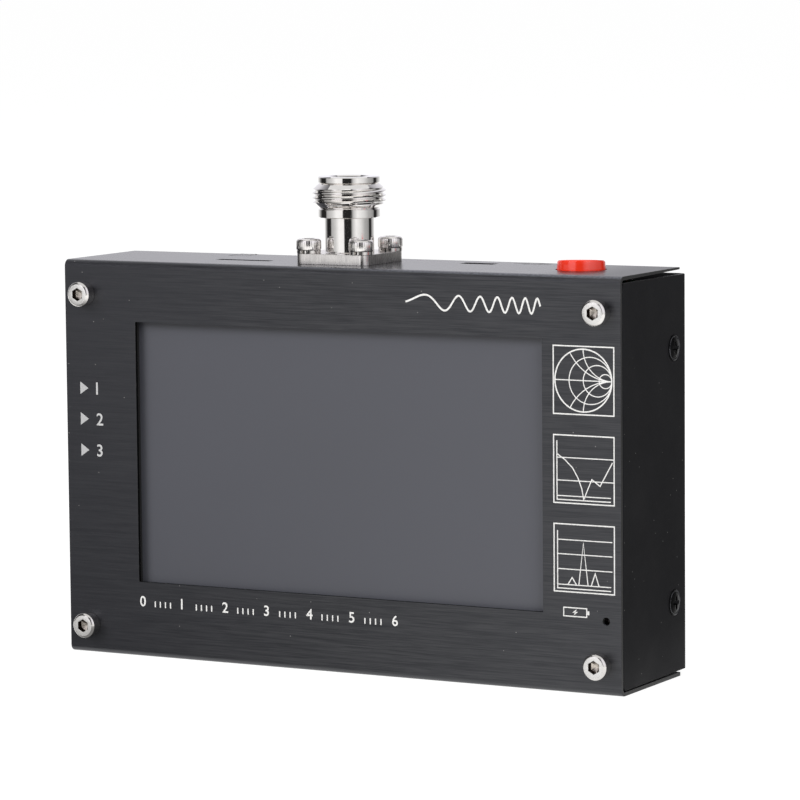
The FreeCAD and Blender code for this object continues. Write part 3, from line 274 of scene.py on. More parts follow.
def circuit_board(name):
    """Green solder mask over copper tracks, with bare dots at the vias."""
    surface = Surface(name, (0.01, 0.1, 0.045), 0.32)
    tracks = surface.remap(surface.cells(0.5, "DISTANCE_TO_EDGE"), 0.05, 0.08, 1, 0)
    vias = surface.remap(surface.cells(0.35), 0.12, 0.1, 0, 1)
    mask = surface.blend(tracks, (0.006, 0.075, 0.032), (0.02, 0.17, 0.07))
    surface.colour(surface.blend(vias, mask, (0.6, 0.5, 0.28)))
    surface.roughness(surface.remap(vias, 0, 1, 0.34, 0.24))
    surface.bump(tracks, 0.02, 0.4)
    return surface.material


def pouch_foil(name):
    """Silver laminate of a pouch cell, slightly creased."""
    surface = Surface(name, (0.62, 0.63, 0.64), 0.36, 0.7)
    crease = surface.noise((0.12, 0.12, 0.3), detail=4, roughness=0.6)
    surface.colour(surface.blend(crease, (0.5, 0.51, 0.52), (0.72, 0.73, 0.74)))
    surface.roughness(surface.remap(crease, 0.3, 0.7, 0.3, 0.44))
    surface.bump(crease, 0.25, 0.5)
    return surface.material


def silkscreen(name, whiteness=1.0):
    """Printing ink, thinner here and there, and darkened at the far left as painted shade."""
    surface = Surface(name, (0.9, 0.89, 0.87), 0.5)
    thin = surface.noise(3, detail=2)
    full_ink = [whiteness * value for value in (0.92, 0.91, 0.89)]
    thin_ink = [whiteness * value for value in (0.7, 0.69, 0.67)]
    shade = surface.blend(surface.remap(thin, 0.45, 0.8, 0, 1), full_ink, thin_ink)
    # painted shade: the ink turns grey towards the far left
    painted_shade_left = surface.along_x(-62, -48, 0.8 * whiteness, 0)
    surface.colour(surface.blend(painted_shade_left, shade, (0.42, 0.42, 0.43)))
    surface.bump(thin, 0.004, 0.3)
    return surface.material


# what each of the record's material slots looks like
slot_materials = {
    "anodised_front": anodised("anodised_black"),
    "black_paint": powder("powder_black"),
    "zinc_steel": turned_steel("zinc_plate", (0.62, 0.62, 0.6), 0.3),
    "stainless": turned_steel("stainless_turned", (0.8, 0.775, 0.75), 0.14, (2, 2, 9), 0.1, 0.001),
    "black_screw": turned_steel("black_oxide", (0.012, 0.012, 0.013), 0.34),
    "black_foam": plastic("foam_black", (0.012, 0.012, 0.012), 0.9, 0.06),
    "screen_glass": screen_glass("glass_antiglare"),
    "display_stack": plastic("display_dark", (0.04, 0.04, 0.05), 0.3, 0.004),
    "display_steel": turned_steel("pressed_steel", (0.6, 0.6, 0.6), 0.34, (0.2, 4, 4)),
    "ribbon_film": plastic("amber_film", (0.5, 0.24, 0.05), 0.3, 0.01),
    "white_plastic": plastic("nylon_white", (0.74, 0.73, 0.68), 0.45),
    "circuit_board": circuit_board("solder_mask_green"),
    "chip_black": plastic("chip_epoxy", (0.022, 0.022, 0.024), 0.55, 0.012),
    "black_plastic": plastic("plastic_black", (0.016, 0.016, 0.017), 0.42),
    "crystal_can": turned_steel("tin_plate", (0.75, 0.75, 0.74), 0.22),
    "ceramic": plastic("ceramic_tan", (0.45, 0.35, 0.24), 0.5),
    "red_button": plastic("button_red", (0.93, 0.035, 0.01), 0.16, 0.003, Specular_IOR_Level=1.0),
    "white_stem": plastic("stem_white", (0.72, 0.71, 0.68), 0.4),
    "switch_housing": plastic("switch_dark", (0.03, 0.03, 0.032), 0.4),
    "spring_steel": turned_steel("spring_wire", (0.55, 0.55, 0.56), 0.24),
    "tinned_copper": turned_steel("tinned_copper", (0.7, 0.68, 0.64), 0.28),
    "light_lens": plastic("lens_smoky", (0.006, 0.004, 0.004), 0.3, 0.002, Specular_IOR_Level=0.2),
    "pouch_foil": pouch_foil("pouch_foil"),
    "white_tape": plastic("tape_white", (0.7, 0.7, 0.68), 0.6, 0.02),
    "red_insulation": plastic("wire_red", (0.55, 0.03, 0.02), 0.4),
    "black_insulation": plastic("wire_black", (0.015, 0.015, 0.015), 0.42),
    "bright_nickel": turned_steel("nickel_bright", (0.9, 0.88, 0.86), 0.07, (0.6, 0.6, 9), 0.06),
    "white_fluoropolymer": plastic("fluoropolymer", (0.8, 0.8, 0.78), 0.4),
    "gold_plate": turned_steel("gold_plate", (0.86, 0.62, 0.26), 0.18),
}
# finishes of single faces and of the scene's own pieces, with painted shade on the window walls and screw
# recesses and a painted highlight on the side screws' rims
edge_worn = worn_edge("edge_worn")
# painted shade: the window's walls take a near-black, almost glossless copy of the sawn edge, standing for
# the shade inside the window
window_wall_painted_shade = cut_edge("window_wall_painted_shade", 0.0025, 0.05)
edge_side = cut_edge("edge_side", 0.022)
edge_flap = cut_edge("edge_flap", 0.03)
board_edge = plastic("board_edge", (0.07, 0.06, 0.035), 0.9, 0.03, Specular_IOR_Level=0.05)
knurl_steel = turned_steel("knurl_steel", (0.92, 0.89, 0.86), 0.17, (2, 2, 4), 0.14)
face_steel = turned_steel("face_steel", (0.8, 0.785, 0.765), 0.3, 1.5, 0.1, 0.001, 0.5)
recess_steel = turned_steel("recess_steel", (0.76, 0.69, 0.61), 0.3, 2, 0.35)
# painted shade: dark steel for the walls inside the cap screws' hexagonal recesses
recess_painted_shade = turned_steel("recess_painted_shade", (0.09, 0.07, 0.06), 0.4, 3, 0.3)
# painted highlight: grey metal for the rings at the black side screws' rims
screw_rim_highlight = turned_steel("screw_rim_highlight", (0.12, 0.12, 0.13), 0.25)
nickel_sawn = turned_steel("nickel_sawn", (0.88, 0.85, 0.82), 0.26, (3, 3, 0.1), 0.16)
ink_white = silkscreen("ink_white")
ink_grey = silkscreen("ink_grey", 0.12)

node_slots = {name: node.material_slots[0].material.name for name, node in frame["nodes"].items()}
node_bodies = {node: body for body, nodes in frame["record"]["behaviour"]["bodies"].items()
               for node in nodes}
for name, node in frame["nodes"].items():
    for holder in node.material_slots:
        holder.material = slot_materials[node_slots[name]]


# -------- making of pieces
smallest_gap = 1e-7  # metres; nearer points are merged


def placed(name, data):
    """New object of the scene."""
    made = bpy.data.objects.new(name, data)
    bpy.context.scene.collection.objects.link(made)
    return made


def moved_to(x, y, z):
    """Shift to a place in millimetres."""
    return Matrix.Translation(Vector((x, y, z)) * MM)


def mesh_of(name, shape, materials):
    """Mesh of a bmesh, which is freed."""
    mesh = bpy.data.meshes.new(name)
    shape.to_mesh(mesh)
    shape.free()
    for material in materials:
        mesh.materials.append(material)
    return mesh


def piece(name, shape, materials, body, replaced=(), smooth_angle=32):
    """Object from a bmesh in metres, riding on a body."""
    bmesh.ops.recalc_face_normals(shape, faces=shape.faces)
    mesh = mesh_of(name, shape, materials)
    mesh.shade_smooth()
    mesh.set_sharp_from_angle(angle=math.radians(smooth_angle))
    made = placed(name, mesh)
    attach(made, body)
    if replaced:
        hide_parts(*replaced)
    return made


def bevelled(made, width, segments, angle, edge_material=None):
    """Rounds a piece's sharp edges and evens its shading."""
    bevel = made.modifiers.new("edge rounding", "BEVEL")
    bevel.width = width * MM
    bevel.segments = segments
    bevel.limit_method = "ANGLE"
    bevel.angle_limit = math.radians(angle)
    bevel.use_clamp_overlap = True
    if edge_material is not None:
        made.data.materials.append(edge_material)
        bevel.material = len(made.data.materials) - 1
    made.modifiers.new("even shading", "WEIGHTED_NORMAL").keep_sharp = True


def dressed(name, node, width, segments=2, angle=30, edge_material=None, move=None, odd_faces=()):
    """Copy of a CAD node with whole faces and rounded edges.

    move turns a point's x, y and z in millimetres into new ones. Each of odd_faces is (test, material):
    the faces that the test picks take that material.
    """
    shape = bmesh.new()
    shape.from_mesh(frame["nodes"][node].data)
    bmesh.ops.remove_doubles(shape, verts=shape.verts, dist=smallest_gap)
    bmesh.ops.dissolve_limit(shape, angle_limit=math.radians(0.3), verts=shape.verts, edges=shape.edges)
    if move is not None:
        for vertex in shape.verts:
            vertex.co = Vector(move(*(vertex.co / MM))) * MM
    slot = node_slots[node]
    materials = [slot_materials[slot]]
    for test, material in odd_faces:
        materials.append(material)
        for face in shape.faces:
            face.normal_update()
            if test(face):
                face.material_index = len(materials) - 1
    made = piece(name, shape, materials, node_bodies[node], [node])
    bevelled(made, width, segments, angle, edge_material)


def add_rings(shape, rings, count, place, finishes=()):
    """Skin through rings, each (radius, z), where a radius may depend on the angle; place moves it.

    Each of finishes is (ring, material number): the faces from that ring on take that material.
    """
    levels = []
    for radius, z in rings:
        if radius == 0:
            levels.append([shape.verts.new(place @ Vector((0, 0, z * MM)))])
            continue
        level = []
        for index in range(count):
            angle = TAU * index / count
            reach = (radius(angle) if callable(radius) else radius) * MM
            level.append(shape.verts.new(
                place @ Vector((reach * math.cos(angle), reach * math.sin(angle), z * MM))))
        levels.append(level)
    for number, (low, high) in enumerate(zip(levels, levels[1:])):
        finish = max([material for ring, material in finishes if number >= ring], default=0)
        for index in range(count):
            after = (index + 1) % count
            if len(low) == 1:
                face = shape.faces.new((low[0], high[after], high[index]))
            elif len(high) == 1:
                face = shape.faces.new((low[index], low[after], high[0]))
            else:
                face = shape.faces.new((low[index], low[after], high[after], high[index]))
            face.material_index = finish


def add_prism(shape, outline, low, high, place):
    """Closed block over an outline of (x, y) between two heights."""
    ends = [[shape.verts.new(place @ Vector((x * MM, y * MM, z * MM))) for x, y in outline]
            for z in (low, high)]
    shape.faces.new(list(reversed(ends[0])))
    shape.faces.new(ends[1])
    count = len(outline)
    for index in range(count):
        after = (index + 1) % count
        shape.faces.new((ends[0][index], ends[0][after], ends[1][after], ends[1][index]))


def rounded_square(size, radius, steps=8):
    """Outline of a square with rounded corners, centred on the origin."""
    inner = size / 2 - radius
    outline = []
    for quarter, (x, y) in enumerate(((inner, inner), (-inner, inner), (-inner, -inner), (inner, -inner))):
        for step in range(steps + 1):
            angle = math.pi / 2 * (quarter + step / steps)
            outline.append((x + radius * math.cos(angle), y + radius * math.sin(angle)))
    return outline


# -------- case
sheet = 0.8
solid_fold = 2.0  # outside radius of the folds in the solid
crisp_fold = 1.5  # and in the scene
window_reach = 50.0  # just beyond the window's side walls
window_ceiling = 80.0  # just above its upper wall
rim_zone = 3.0  # depth below the top that holds the rims
ground_from = -5.0  # y behind which the underside's points are lifted
ground_off = 0.35  # what it has lost at its rear edge
side_wall_drop = 0.2  # the cover's upper edge, at the front
side_wall_rise = 0.04  # less of it at the rear
edge_radius = 0.12


def share_of(value, start, end):
    """How far a value is from start to end, held between 0 and 1."""
    return max(0.0, min(1.0, (value - start) / (end - start)))


def in_window(face):
    """Walls of the window."""
    middle = face.calc_center_median() / MM
    return (abs(face.normal.y) < 0.1 and middle.y < front_y + 1 and abs(middle.x) < window_reach
            and middle.z < window_ceiling)


def at_side(face):
    """Edges of the sheet at both sides."""
    return abs(face.normal.x) > 0.9 and not in_window(face)


def at_rim(face):
    """Edges that face up, near the top."""
    return face.normal.z > 0.9 and face.calc_center_median().z > (top_z - rim_zone) * MM


def crisp_folds(x, y, z):
    """Front sheet's folds, tighter than in the solid."""
    near = 0.01
    for edge, way in ((top_z, 1), (0, -1)):
        back = front_y + solid_fold - y
        above = way * (z - edge) + solid_fold
        reach = math.hypot(back, above)
        if back > -near and above > -near and reach > solid_fold - sheet - 0.1:
            turn = math.atan2(above, back)
            radius = reach - solid_fold + crisp_fold
            y = front_y + crisp_fold - radius * math.cos(turn)
            z = edge - way * (crisp_fold - radius * math.sin(turn))
    return x, y, z


def front_shape(x, y, z):
    """Crisp folds, and a top that is ground thinner from below towards its rear edge."""
    x, y, z = crisp_folds(x, y, z)
    if top_z - sheet - 0.05 < z < top_z - 0.3:
        z += ground_off * share_of(y, ground_from, shell_high.y)
    return x, y, z


def lower_rim(x, y, z):
    """Cover with an upper edge a little lower than in the solid."""
    if z > top_z - rim_zone:
        rearward = (y - cover_low.y) / (cover_high.y - cover_low.y)
        z -= side_wall_drop - side_wall_rise * rearward
    return x, y, z


dressed("front_panel", "front_shell", edge_radius, 2, 35, edge_worn, front_shape,
        ((in_window, window_wall_painted_shade), (at_side, edge_side)))
dressed("rear_cover", "rear_shell", edge_radius, 2, 35, move=lower_rim, odd_faces=((at_rim, edge_flap),))
dressed("main_board_panel", "main_board", 0.04, 1, odd_faces=((at_rim, board_edge),))

# -------- screws and button
button_low, button_high = corners_mm("power_button_cap")
button_straight = 0.6  # height above the case up to which the button stays as it is
lean_back = 0.45  # rise of its front edge, and fall of its rear edge
lean_left = 0.18  # rise of its right edge, and fall of its left edge
shank_radius = 1.45
shank_tip_radius = 1.2
recess_flats = 2.5  # hexagonal recess of all cap screws
recess_mouth_flats = 2.64
recess_floor_flats = 2.3
knurl_depth = 0.035


def slope_back(x, y, z):
    """Button's end, leaning back and a little to the left."""
    above = share_of(z, top_z + button_straight, button_high.z)
    rearward = (y - button_low.y) / (button_high.y - button_low.y)
    leftward = (button_high.x - x) / (button_high.x - button_low.x)
    rise = lean_back * (1 - 2 * rearward) + lean_left * (1 - 2 * leftward)
    return x, y, z + above * rise


dressed("side_cross_screws", "side_screws", 0.06)
dressed("flange_lock_washers", "flange_washers", 0.05)
dressed("button_cap", "power_button_cap", edge_radius, 3, 40, move=slope_back)


def side_screw_rims():
    """Rings round the rims of the side screws' heads, in a grey metal far lighter than the screws, as a
    painted highlight.
    """
    low, high = corners_mm("side_screws")
    head_radius = 2.8
    rim_radius = head_radius - 0.32
    rim_inset = 0.31
    half = 0.08
    steps = 8
    rings = [(rim_radius + half * math.cos(TAU * step / steps), half * math.sin(TAU * step / steps))
             for step in range(steps + 1)]
    shape = bmesh.new()
    for side in (-1, 1):
        aim = Matrix.Rotation(side * math.pi / 2, 4, "Y")
        for z in (low.z + head_radius, high.z - head_radius):
            place = moved_to(side * (high.x - rim_inset), (low.y + high.y) / 2, z)
            add_rings(shape, rings, 64, place @ aim)
    bmesh.ops.remove_doubles(shape, verts=shape.verts, dist=smallest_gap)
    piece("side_screw_rims", shape, [screw_rim_highlight], "case")


side_screw_rims()


def hexagon(across_flats):
    """Radius of a hexagon by angle."""
    sector = TAU / 6
    return lambda angle: across_flats / 2 / math.cos((angle + sector / 2) % sector - sector / 2)


def shank(bottom, seat):
    """Rings of a screw's shank, from its end up to the head's seat."""
    return [(0, bottom), (shank_tip_radius, bottom), (shank_radius, bottom + 0.25), (shank_radius, seat)]


def front_screw_heads():
    """Smooth cap screws with a bevelled rim and a hexagonal recess, facing forwards."""
    low, high = corners_mm("front_screws")
    radius = 2.75
    waist = radius - 0.03
    head = 3.0
    length = high.y - low.y
    seat = length - head
    rings = shank(0, seat) + [
        (radius - 0.12, seat), (waist, seat + 0.1), (waist, length - 0.5), (radius - 0.1, length - 0.38),
        (radius - 0.42, length - 0.04), (radius - 0.5, length), (hexagon(recess_mouth_flats), length),
        (hexagon(recess_flats), length - 0.07), (hexagon(recess_flats), length - 1.5),
        (hexagon(recess_floor_flats), length - 1.6), (0, length - 2.2)]
    shape = bmesh.new()
    aim = Matrix.Rotation(math.pi / 2, 4, "X")
    for x in (low.x + radius, high.x - radius):
        for z in (low.z + radius, high.z - radius):
            add_rings(shape, rings, 72, moved_to(x, high.y, z) @ aim, ((9, 1), (11, 2), (12, 3)))
    materials = [slot_materials["stainless"], face_steel, recess_painted_shade, recess_steel]
    made = piece("front_cap_screws", shape, materials, "case", ["front_screws"], 28)
    made.modifiers.new("even shading", "WEIGHTED_NORMAL").keep_sharp = True


def knurled(radius, depth=knurl_depth, ridges=40):
    """Radius of a knurled rim by angle."""
    return lambda angle: radius - depth * (0.5 - 0.5 * math.cos(ridges * angle))


def flange_screw_heads():
    """Knurled, rounded cap screws with a hexagonal recess."""
    low, high = corners_mm("flange_screws")
    radius = 2.7
    head = 2.45
    curve = 0.75  # radius of the head's rounding
    steps = 6
    seat = high.z - head
    rings = shank(low.z, seat) + [
        (radius - 0.3, seat), (radius - 0.06, seat + 0.12), (knurled(radius), seat + 0.3),
        (knurled(radius), high.z - curve)]
    for step in range(1, steps + 1):
        turn = math.pi / 2 * step / steps
        reach = radius - curve * (1 - math.cos(turn))
        rings.append((knurled(reach, knurl_depth * math.cos(turn)), high.z - curve * (1 - math.sin(turn))))
    rings += [(hexagon(recess_mouth_flats), high.z), (hexagon(recess_flats), high.z - 0.08),
              (hexagon(recess_flats), high.z - 1.5), (hexagon(recess_floor_flats), high.z - 1.55),
              (0, high.z - 2.0)]
    shape = bmesh.new()
    for x in (low.x + radius, high.x - radius):
        for y in (low.y + radius, high.y - radius):
            add_rings(shape, rings, 160, moved_to(x, y, 0), ((15, 1), (16, 2)))
    piece("flange_cap_screws", shape, [knurl_steel, recess_painted_shade, recess_steel], "case",
          ["flange_screws"], 40)


front_screw_heads()
flange_screw_heads()

# -------- N-type socket
flange_size = socket_high.x - socket_low.x
flange_corner = 1.75
flange_top = top_z + 2.25
barrel_radius = 5.325
collar_radius = 6.65
collar_bottom = top_z + 9.8
collar_top = top_z + 11.6
thread_low = collar_top + 0.12
thread_high = top_z + 17.2
thread_crest = 7.9375
thread_root = thread_crest - 0.65
thread_pitch = 1.058
thread_phase = 0.04  # share of a turn by which the helix is turned
thread_turns = 9  # some of them run out in the cones at both ends
thread_chamfer = 1.1  # radius to height of the cones at both ends
thread_foot = collar_radius - 0.25  # radius at which the lower cone starts
thread_head = collar_radius - 0.3  # and the upper one
thread_sides = 144
rim_bottom = top_z + 17.3
rim_top = socket_high.z
mouth_radius = 4.05
mouth_floor = rim_top - 9.1
bore_radius = 3.5


def add_thread(shape, place):
    """Helical skin of the thread, between the cones at both ends."""
    flanks = ((0.0, 0), (0.06, 0), (0.18, 0.32), (0.31, 0.66), (0.44, 1), (0.56, 1), (0.69, 0.66),
              (0.82, 0.32), (0.94, 0))  # share of the pitch, and height between root and crest
    start = thread_low - 2 * thread_pitch + thread_phase * thread_pitch
    step = len(flanks)
    grid = []
    for row in range(thread_turns * step):
        share, height = flanks[row % step]
        line = []
        for index in range(thread_sides):
            angle = TAU * index / thread_sides
            z = start + (row // step + share + index / thread_sides) * thread_pitch
            z = max(thread_low, min(thread_high, z))
            radius = min(thread_root + (thread_crest - thread_root) * height,
                         thread_foot + thread_chamfer * (z - thread_low),
                         thread_head + thread_chamfer * (thread_high - z))
            spot = Vector((radius * math.cos(angle), radius * math.sin(angle), z)) * MM
            line.append(shape.verts.new(place @ spot))
        grid.append(line)
    for row in range(len(grid) - step - 1):
        for index in range(thread_sides):
            if index < thread_sides - 1:
                after, beside = index + 1, row
            else:
                after, beside = 0, row + step  # a full turn is one pitch higher
            shape.faces.new((grid[row][index], grid[beside][after], grid[beside + 1][after],
                             grid[row + 1][index]))


def socket_piece():
    """Flange, barrel, collar, thread, rim and mouth of the socket."""
    place = moved_to(socket_x, socket_y, 0)
    neck_radius = collar_radius - 0.5
    below = [
        (barrel_radius + 0.15, flange_top - 0.1), (barrel_radius + 0.15, flange_top),
        (barrel_radius, flange_top + 0.15), (barrel_radius, collar_bottom - 0.1),
        (barrel_radius + 0.1, collar_bottom), (collar_radius - 0.12, collar_bottom),
        (collar_radius, collar_bottom + 0.12), (collar_radius, collar_top - 0.12),
        (collar_radius - 0.12, collar_top), (neck_radius, collar_top), (neck_radius, thread_low),
        (thread_foot, thread_low)]
    above = [
        (thread_head, thread_high), (collar_radius - 0.4, rim_bottom - 0.05),
        (collar_radius - 0.05, rim_bottom), (collar_radius, rim_bottom + 0.06),
        (collar_radius, rim_top - 0.2), (collar_radius - 0.2, rim_top), (mouth_radius + 0.3, rim_top),
        (mouth_radius, rim_top - 0.3), (mouth_radius, mouth_floor), (bore_radius, mouth_floor),
        (bore_radius, top_z + 1.5)]
    shape = bmesh.new()
    add_rings(shape, below, thread_sides, place)
    add_thread(shape, place)
    add_rings(shape, above, thread_sides, place)
    bmesh.ops.remove_doubles(shape, verts=shape.verts, dist=2 * smallest_gap)
    piece("socket_barrel", shape, [slot_materials["bright_nickel"]], "case",
          ["rf_socket_body"], 25)
    flange = bmesh.new()
    add_prism(flange, rounded_square(flange_size, flange_corner), top_z, flange_top, place)
    bevelled(piece("socket_flange", flange, [nickel_sawn], "case"), 0.07, 2, 40)


socket_piece()

# -------- printing
ink_lift = 0.01  # ink above the metal
ink_step = 0.0008  # each line above the one before
wave_line = 0.4
outer_line = 0.3
frame_line = 0.27
curve_line = 0.24
inner_line = 0.21
top_line = 0.45
top_pin = 0.5
digit_bold = 0.012  # added to each side of a stroke, as a share of the font's size


class Print:
    """Ink lines and areas on one flat face, drawn in (u, v) in the face's own directions."""

    def __init__(self, origin, along, up):
        self.shape = bmesh.new()
        self.origin = Vector(origin)
        self.along = Vector(along)
        self.up = Vector(up)
        self.outward = self.along.cross(self.up)
        self.layer = ink_lift

    def at(self, u, v):
        """Place of a point on the face, on the present layer of ink."""
        return (self.origin + self.along * u + self.up * v + self.outward * self.layer) * MM

    def area(self, points):
        """Filled polygon."""
        self.shape.faces.new([self.shape.verts.new(self.at(u, v)) for u, v in points])

    def line(self, points, width, closed=False):
        """Line of one width through points, with mitred corners, on a layer of its own."""
        self.layer += ink_step
        count = len(points)
        left = []
        right = []
        for index, (u, v) in enumerate(points):
            here = Vector((u, v))
            before = Vector(points[index - 1]) if closed or index else None
            after = Vector(points[(index + 1) % count]) if closed or index < count - 1 else None
            back = (here - before).normalized() if before is not None else (after - here).normalized()
            ahead = (after - here).normalized() if after is not None else back
            normal = Vector((-(back.y + ahead.y), back.x + ahead.x)).normalized()
            reach = width / 2 / max(0.35, normal.dot(Vector((-back.y, back.x))))
            left.append(here + normal * reach)
            right.append(here - normal * reach)
        last = count if closed else count - 1
        for index in range(last):
            after = (index + 1) % count
            self.area([right[index], right[after], left[after], left[index]])

    def arc(self, u, v, radius, width, start=0.0, end=360.0):
        """Arc or circle, in degrees."""
        steps = max(8, int(abs(end - start) / 6))
        turns = [math.radians(start + (end - start) * step / steps) for step in range(steps + 1)]
        points = [(u + radius * math.cos(turn), v + radius * math.sin(turn)) for turn in turns]
        if abs(end - start) == 360:
            self.line(points[:-1], width, closed=True)
        else:
            self.line(points, width)

    def digits(self, text, u, v, height):
        """Plain digits of a height, standing on v and starting at u."""
        curve = bpy.data.curves.new("digits", "FONT")
        curve.body = text
        curve.resolution_u = 6
        curve.offset = digit_bold
        holder = bpy.data.objects.new("digits", curve)
        mesh = holder.to_mesh()
        tall = max(vertex.co.y for vertex in mesh.vertices)
        low = min(vertex.co.y for vertex in mesh.vertices)
        left = min(vertex.co.x for vertex in mesh.vertices)
        scale = height / (tall - low)
        for polygon in mesh.polygons:
            corners = [mesh.vertices[index].co for index in polygon.vertices]
            self.area([(u + (corner.x - left) * scale, v + (corner.y - low) * scale) for corner in corners])
        holder.to_mesh_clear()
        bpy.data.objects.remove(holder)
        bpy.data.curves.remove(curve)

    def finished(self, name, ink):
        """Piece made of all that was drawn."""
        for face in self.shape.faces:
            face.normal_update()
            if face.normal.dot(self.outward) < 0:
                face.normal_flip()
        made = placed(name, mesh_of(name, self.shape, [ink]))
        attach(made, "case")


icon_left = 52.0
icon_width = 14.1
icon_height = 14.4
icon_tops = (72.6, 54.08, 35.56)
axis_foot = 0.81  # graph's lower axis above the frame
axis_end = 13.2


def icon_frame(ink, top):
    """Frame round one of the three icons."""
    half = frame_line / 2
    right = icon_left + icon_width
    ink.line([(icon_left + half, top - half), (right - half, top - half),
              (right - half, top - icon_height + half), (icon_left + half, top - icon_height + half)],
             frame_line, closed=True)


def impedance_chart(ink, top):
    """Circles of constant resistance and arcs of constant reactance."""
    icon_frame(ink, top)
    radius = 6.5
    u = icon_left + 7.0
    v = top - icon_height / 2
    ink.arc(u, v, radius, outer_line)
    for resistance in (1 / 3, 1.0, 3.5):
        circle = radius / (1 + resistance)
        ink.arc(u + radius - circle, v, circle, inner_line)
    ink.line([(u - radius, v), (u + radius, v)], inner_line)
    for reactance in (0.6, 1.0):
        reach = 2 * math.degrees(math.atan(reactance))
        for side in (-1, 1):
            ink.arc(u + radius, v + side * radius / reactance, radius / reactance, inner_line,
                    side * -90, side * (-90 - reach))


def graph(ink, top, axis, axis_top, levels, curves):
    """Frame, axes, level lines and curves of a small graph, from the frame's lower left corner."""
    icon_frame(ink, top)

    def put(points, width):
        ink.line([(icon_left + u, top - icon_height + v) for u, v in points], width)

    put([(axis, axis_top), (axis, axis_foot), (axis_end, axis_foot)], curve_line)
    for v, end in levels:
        put([(axis, v), (end, v)], inner_line)
    for points in curves:
        put(points, curve_line)


def match_graph(ink, top):
    """Curve that dips where the antenna matches."""
    fall = [(0.93, 10.3), (2.7, 9.18), (4.46, 7.53), (5.7, 5.5), (6.6, 3.2), (7.0, 1.04)]
    rise = [(8.87, 5.3), (10.76, 4.0), (13.6, 9.0)]
    graph(ink, top, 0.88, 13.1, ((1.62, 13.2), (4.85, 13.9), (9.6, 13.9)), [fall + rise])


def peak_graph(ink, top):
    """Three peaks of a spectrum."""
    peaks = [[(3.27, 1.62), (4.28, 3.16), (5.29, 1.62)], [(5.8, 1.62), (6.88, 10.43), (7.93, 1.62)],
             [(8.64, 1.62), (9.57, 4.26), (10.45, 1.62)]]
    graph(ink, top, 0.93, 12.9, ((1.62, 13.2), (4.87, 13.5), (8.0, 13.5), (11.0, 13.5)), peaks)


def arrow_marks(ink):
    """Three numbered arrows at the left."""
    left, length, half = -63.96, 2.1, 1.4
    digit_left, digit_height = -59.86, 2.7
    for number, v in enumerate((58.8, 52.0, 45.1), start=1):
        ink.area([(left, v - half), (left + length, v), (left, v + half)])
        ink.digits(str(number), digit_left, v - digit_height / 2, digit_height)


def sweep_wave(ink):
    """Wave whose frequency rises, at the upper right."""
    left, width, middle, swing, steps = 17.6, 31.6, 80.4, 1.6, 160
    points = []
    for share in (step / steps for step in range(steps + 1)):
        phase = TAU * (0.9 * share + 5.6 * share ** 2)
        points.append((left + width * share, middle + swing * math.sin(phase)))
    ink.line(points, wave_line)


def plain_scale(ink):
    """Digits 0 to 6 with four ticks between each two, below the screen."""
    left, spacing, foot, last = -49.3, 10.5, 11.2, 6
    digit_height, tick_height, first_tick, tick_spacing = 2.3, 1.3, 3.9, 1.3
    for number in range(last + 1):
        u = left + number * spacing
        ink.digits(str(number), u, foot, digit_height)
        if number < last:
            for step in range(4):
                tick = u + first_tick + step * tick_spacing
                ink.line([(tick, foot), (tick, foot + tick_height)], outer_line)


def charge_mark(ink):
    """Battery with a small flash, beside the charge light."""
    ink.line([(54.3, 16.2), (59.6, 16.2), (59.6, 18.0), (54.3, 18.0)], curve_line, closed=True)
    ink.area([(59.75, 16.7), (60.2, 16.7), (60.2, 17.5), (59.75, 17.5)])
    ink.area([(57.3, 17.75), (56.3, 17.0), (56.95, 17.0)])
    ink.area([(56.6, 16.45), (57.6, 17.2), (56.95, 17.2)])


def front_print():
    """Everything printed on the front."""
    ink = Print((0, front_y, 0), (1, 0, 0), (0, 0, 1))
    impedance_chart(ink, icon_tops[0])
    match_graph(ink, icon_tops[1])
    peak_graph(ink, icon_tops[2])
    arrow_marks(ink)
    sweep_wave(ink)
    plain_scale(ink)
    charge_mark(ink)
    ink.finished("front_print", ink_white)


def top_print():
    """Outlines of a memory card and a plug behind their slots, read from the front."""
    ink = Print((0, 0, top_z), (1, 0, 0), (0, 1, 0))
    card = [(-39.6, 7.3), (-35.1, 7.3), (-35.1, 11.8), (-36.4, 13.1), (-39.6, 13.1)]
    ink.line(card, top_line, closed=True)
    for u in (-38.6, -37.4, -36.2):
        ink.line([(u, 10.4), (u, 12.0)], wave_line)
    ink.line([(30.0, 9.6), (32.6, 9.6)], top_pin)
    ink.line([(32.8, 8.0), (36.2, 8.0), (36.2, 11.2), (32.8, 11.2)], top_line, closed=True)
    for v in (8.8, 10.4):
        ink.line([(36.4, v), (38.6, v)], top_pin)
    ink.finished("top_print", ink_grey)


front_print()
top_print()


# -------- camera
camera_angles = (28.55821, 6.12380, -0.51634)  # azimuth, elevation and roll in degrees
camera_place = (427.480, -772.452, 151.868)
camera_lens = 184.8376
camera_sensor = 36


def make_camera():
    """Camera at the photograph's angle."""
    azimuth, elevation, roll = (math.radians(angle) for angle in camera_angles)
    look = Vector((-math.sin(azimuth) * math.cos(elevation), math.cos(azimuth) * math.cos(elevation),
                   -math.sin(elevation)))
    across = Vector((math.cos(azimuth), math.sin(azimuth), 0))
    upward = across.cross(look)
    right = across * math.cos(roll) + upward * math.sin(roll)
    up = upward * math.cos(roll) - across * math.sin(roll)
    data = bpy.data.cameras.new("camera")
    data.sensor_width = camera_sensor
    data.lens = camera_lens
    data.clip_start = 0.05
    data.clip_end = 100
    camera = placed("camera", data)
    aim = Matrix((right, up, -look)).transposed().to_4x4()
    camera.matrix_world = moved_to(*camera_place) @ aim
    bpy.context.scene.camera = camera


